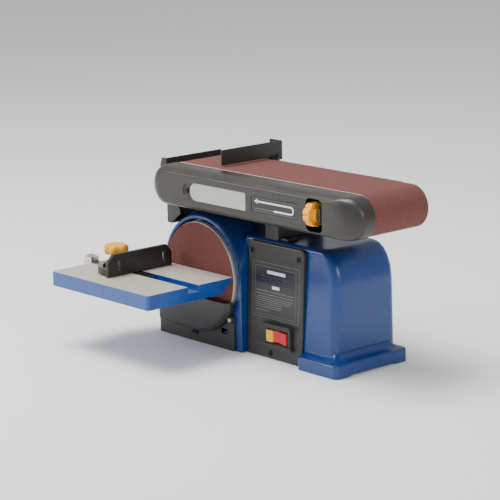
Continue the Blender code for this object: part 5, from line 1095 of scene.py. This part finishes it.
seat = front + 9.3 * MM
rib = np.array([(6.6, 0.0), (6.6, 1.1), (5.6, 1.3), (5.6, 2.1)]) * MM
rib_starts = np.stack([np.zeros(4), np.arange(4) * 2.3 * MM], -1)[:, None]
flex = (rib[None] + rib_starts).reshape(-1, 2) + (0, seat + 3.0 * MM)
flex[:, 0] -= np.linspace(0, 0.8 * MM, len(flex))
gland = turned("cord_gland_bush", [
    (3.6 * MM, front), (7.9 * MM, front), (7.9 * MM, seat), (12 * MM, seat), (12 * MM, seat + 2.6 * MM),
    *flex.tolist(), (3.6 * MM, rear),
], centre, steps=96, edge=0.3 * MM)
stands_for(gland, RUBBER, "cord_gland")
print("outlets turned")

# %% [markdown]
# ## Marks on the panel
# The panel carries a framed label. Its words and marks belong to a maker, so plain bars stand in for the
# lines of text. They lie on the panel, which leans back a little, so each one's depth follows its height.

# %% Panel marks
panel_low = corners("switch_panel")[0]
LEAN = np.tan(radians(2.95))
PANEL_FOOT = panel_low[1]
PANEL_LEFT = panel_low[0]


def on_panel(x, z):
    """Depth of the panel's leaning face at a height."""
    return PANEL_FOOT + (z - panel_low[2]) * LEAN + 0 * x


label_x = (PANEL_LEFT + 10.5 * MM, PANEL_LEFT + 108 * MM)
label_z = (58.5 * MM, 136.5 * MM)
outer_line = frame_line("outer_line", label_x, label_z, 2.5 * MM, 0.55 * MM, 0, on_panel)
inner_x = (PANEL_LEFT + 16 * MM, PANEL_LEFT + 101 * MM)
inner_line = frame_line("inner_line", inner_x, (62 * MM, 131 * MM), 2 * MM, 0.4 * MM, 0, on_panel)
goes_with(joined("panel_label_frame", [outer_line, inner_line]), GREY_INK, "switch_panel")


def bar(name, x0, x1, z, height):
    """A flat printed bar on the panel."""
    return ribbon(name, np.stack([np.linspace(x0, x1, 4), np.full(4, z)], -1), height, 0, depth_of=on_panel,
                  thick=0.10 * MM)


band = bar("panel_label_band", inner_x[0] + 1 * MM, inner_x[1] - 1 * MM, 118.5 * MM, 23 * MM)
goes_with(band, BAND_FILM_AND_GROOVE_SHADE, "switch_panel")
bright_line = [(PANEL_LEFT + x * MM, 103 * MM) for x in (52, 67)]
bright = ribbon("bright_bar", bright_line, 4.4 * MM, 0, depth_of=on_panel, thick=0.2 * MM)
title_line = [(PANEL_LEFT + x * MM, 124 * MM) for x in (41, 79)]
title = ribbon("title_bar", title_line, 4.5 * MM, 0, depth_of=on_panel, thick=0.2 * MM)
goes_with(joined("panel_label_bright_bars", [bright, title]), INK, "switch_panel")
rows = [(6, 78, 117), (10, 74, 113), (0, 84, 96), (0, 84, 91.5), (2, 83, 87.5), (0, 80, 84.5), (0, 76, 81.5),
        (0, 60, 78.5), (0, 60, 75.5), (0, 57, 72.5), (0, 34, 68)]
lines = [bar(f"line_{i}", inner_x[0] + (3 + a) * MM, inner_x[0] + b * MM - 3 * MM, z * MM, 0.8 * MM)
         for i, (a, b, z) in enumerate(rows)]
goes_with(joined("panel_label_lines", lines), GREY_INK, "switch_panel")
# painted shade: a flat dark strip stands in for the shadow in the panel's lower groove, which has no recess
# of its own
groove_shade_line = ribbon("panel_lower_groove_painted_shade", softened([
    (PANEL_LEFT + 6 * MM, 132 * MM), (PANEL_LEFT + 6 * MM, 24 * MM), (PANEL_LEFT + 34 * MM, 24 * MM),
], 3 * MM, 6), 0.5 * MM, 0, depth_of=on_panel, thick=0.1 * MM)
goes_with(groove_shade_line, BAND_FILM_AND_GROOVE_SHADE, "switch_panel")
print("panel marks:", len(rows), "plain bars")

# %% [markdown]
# ## The sticker on the arch
# A small oval sticker with a rotation arrow lies on the cone behind the disc. A point of the cone is at
# radius r(y) round the disc's axis, so an oval patch is a polar grid laid over angle and depth.

# %% Turning arrow sticker
FRONT = corners("lower_front_plate")[1][1] + 0.3 * MM
RIM_RADIUS = DISC_RADIUS + 9.8 * MM
FLARE = 8 * MM / 22.5


def on_cone(name, angle, depth, half_angle, half_depth, lift, strip=None):
    """A thin closed patch on the flare: polar grid (s, t) gives angle + s cos t and depth + s sin t.

    Where strip is given it bounds the patch to an arc instead: angles from a to b and half a width.
    """
    if strip:
        across, along = np.meshgrid(np.linspace(-1, 1, 3), np.linspace(0, 1, 24))
        phi = strip[0] + (strip[1] - strip[0]) * along
        y = depth + strip[2] * across + strip[3] * np.sin(pi * along)
        grid_phi = np.concatenate([phi, phi[:, ::-1]], 1)
        grid_y = np.concatenate([y, y[:, ::-1]], 1)
        raised = np.concatenate([np.full(phi.shape, lift), np.full(phi.shape, lift - 0.2 * MM)], 1)
    else:
        s = np.concatenate([np.linspace(0, 1, 8), np.linspace(1, 0, 8)])[:, None]
        t = np.linspace(0, 2 * pi, 48, endpoint=False)[None, :]
        grid_phi = angle + s * half_angle * np.cos(t)
        grid_y = depth + s * half_depth * np.sin(t)
        raised = np.concatenate([np.full(8, lift), np.full(8, lift - 0.2 * MM)])[:, None] + 0 * t
    reach = RIM_RADIUS + (grid_y - FRONT - 1.5 * MM) * FLARE + raised
    x = DISC_AXIS[0] + reach * np.cos(grid_phi)
    z = DISC_AXIS[1] + reach * np.sin(grid_phi)
    points = placed("Y", x, z, grid_y)
    if strip:
        ends = [np.broadcast_to(row.mean(0), row.shape) for row in (points[0], points[-1])]
        points = np.concatenate([ends[0][None], points, ends[1][None]])
    return surface(name, points, sharp=25)


ARROW_ANGLE = radians(61)
oval = on_cone("turning_sticker", ARROW_ANGLE, FRONT + 11 * MM, radians(8.0), 4.8 * MM, 0.25 * MM)
goes_with(oval, RED_INK, "base_casting")
sweep = on_cone("turning_arrow", 0, FRONT + 10.2 * MM, 0, 0, 0.36 * MM,
                strip=(ARROW_ANGLE - radians(5.2), ARROW_ANGLE + radians(5.2), 0.75 * MM, 2.4 * MM))
goes_with(sweep, INK, "base_casting")
print("sticker laid at", round(np.degrees(ARROW_ANGLE)), "degrees")

# %% [markdown]
# ## The gauge's protractor
# A bright scale lies round the head's rear edge. It is an arc-shaped plate, a grid of angle and radius, and
# its degree marks are short dark strokes along radii.

# %% Protractor scale
head_low, head_high = corners("miter_head")
bar_low, bar_high = corners("miter_bar")
PIVOT = (head_high[0] - 12 * MM, (bar_low[1] + bar_high[1]) / 2)
DECK = head_low[2] + 9 * MM
angles = np.radians(np.linspace(114, 246, 90))


def arc_plate(name, angle, inner, outer, low, high):
    """A flat curved strip: its four corners, two radii by two heights, go along an arc."""
    radii = np.array([inner, outer, outer, inner])[None, :]
    heights = np.broadcast_to(np.array([low, low, high, high])[None, :], (len(angle), 4))
    a = PIVOT[0] + radii * np.cos(angle)[:, None]
    b = PIVOT[1] + radii * np.sin(angle)[:, None]
    rows = placed("Z", a, b, heights)
    ends = [np.broadcast_to(row.mean(0), row.shape) for row in (rows[0], rows[-1])]
    return surface(name, np.concatenate([ends[0][None], rows, ends[1][None]]), sharp=20)


scale = arc_plate("protractor_scale", angles, 43.6 * MM, 49.4 * MM, DECK - 0.1 * MM, DECK + 0.25 * MM)
goes_with(scale, ZINC, "miter_head")
marks = []
for i, degrees in enumerate(range(-60, 61, 5)):
    middle = radians(180 + degrees)
    half = 0.35 * MM / 47 / MM * (1.6 if degrees % 15 == 0 else 1)
    inner = (44.4 if degrees % 15 == 0 else 46.2) * MM
    marks.append(arc_plate(f"mark_{i}", np.linspace(middle - half, middle + half, 3), inner, 49.0 * MM,
                           DECK + 0.2 * MM, DECK + 0.32 * MM))
goes_with(joined("protractor_marks", marks), FILM, "miter_head")
print("protractor:", len(marks), "marks")

# %% [markdown]
# ## Castings, sheet metal and mouldings
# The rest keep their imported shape, refined. Each gets the finish of what it is made of, and the edge
# rounding that its process leaves: a millimetre or more on a casting, a third of that on sheet.

# %% Refined pieces and their finishes
for node, material, edge in (
    ("base_casting", BLUE, 1.2 * MM), ("bottom_plate", DARK_STEEL, 0.2 * MM),
    ("lower_front_plate", PANEL, 0.4 * MM), ("disc_guard", PANEL, 0.5 * MM),
    ("switch_panel", PANEL, 0.5 * MM), ("switch_bezel", PANEL, 0.4 * MM),
    ("switch_body", PANEL, 0.3 * MM), ("switch_rocker", RED, 0.5 * MM),
    ("safety_key", YELLOW, 0.5 * MM), ("drive_cover", COVER, 0.4 * MM),
    ("arm_support", ARM_CASTING, 0.8 * MM),
    ("belt_end_guard", DARK_STEEL, 0.3 * MM), ("arm_rest", PANEL, 0.6 * MM),
    ("table_bracket", DARK_STEEL, 0.4 * MM), ("table_trunnion", DARK_STEEL, 0.4 * MM),
    ("arm_frame", ARM_CASTING, 0.6 * MM), ("platen", GROUND, 0.3 * MM), ("work_stop", DARK_STEEL, 0.3 * MM),
    ("tracking_rod", ZINC, 0.3 * MM), ("tension_lever", DARK_STEEL, 0.6 * MM),
    ("idler_yoke", DARK_STEEL, 0.4 * MM), ("work_table", TABLE, 0.5 * MM), ("miter_bar", GROUND, 0.3 * MM),
    ("miter_pointer", ZINC, 0.15 * MM), ("miter_head", GAUGE, 0.6 * MM),
    ("motor_front_bell", CASTING, 0.5 * MM),
    ("motor_can", DARK_STEEL, 0.4 * MM), ("motor_rotor", GROUND, 0.3 * MM), ("drive_belt", RUBBER, 0.2 * MM),
):
    stands_for(refined(node, edge), material, node)
left_over = sorted(set(BODY_OF) - finished)
print("still packed as they came:", left_over)

# %% [markdown]
# ## The floor
# The machine stands on a wide pale sheet that isn't part of it.

# %% Floor
angle = np.linspace(0, 2 * pi, 96, endpoint=False)
floor_rows = np.array([0.0, 0.5, 2.0, 30.0])[:, None]
floor_points = np.stack([floor_rows * np.cos(angle), floor_rows * np.sin(angle),
                         np.full((4, 96), -0.05 * MM)], -1)
mesh = bpy.data.meshes.new("floor")
i, j = np.arange(3)[:, None], np.arange(96)[None, :]
quads = np.stack([i * 96 + j, (i + 1) * 96 + j, (i + 1) * 96 + (j + 1) % 96, i * 96 + (j + 1) % 96], -1)
mesh.from_pydata(floor_points.reshape(-1, 3).tolist(), [], quads.reshape(-1, 4).tolist())
floor = bpy.data.objects.new("floor", mesh)
bpy.context.scene.collection.objects.link(floor)
paper = bpy.data.materials.new("pale_floor")
paper.use_nodes = True
paper.node_tree.nodes["Principled BSDF"].inputs["Base Color"].default_value = (0.96, 0.96, 0.96, 1)
paper.node_tree.nodes["Principled BSDF"].inputs["Roughness"].default_value = 0.9
floor.data.materials.append(paper)
print("floor laid")
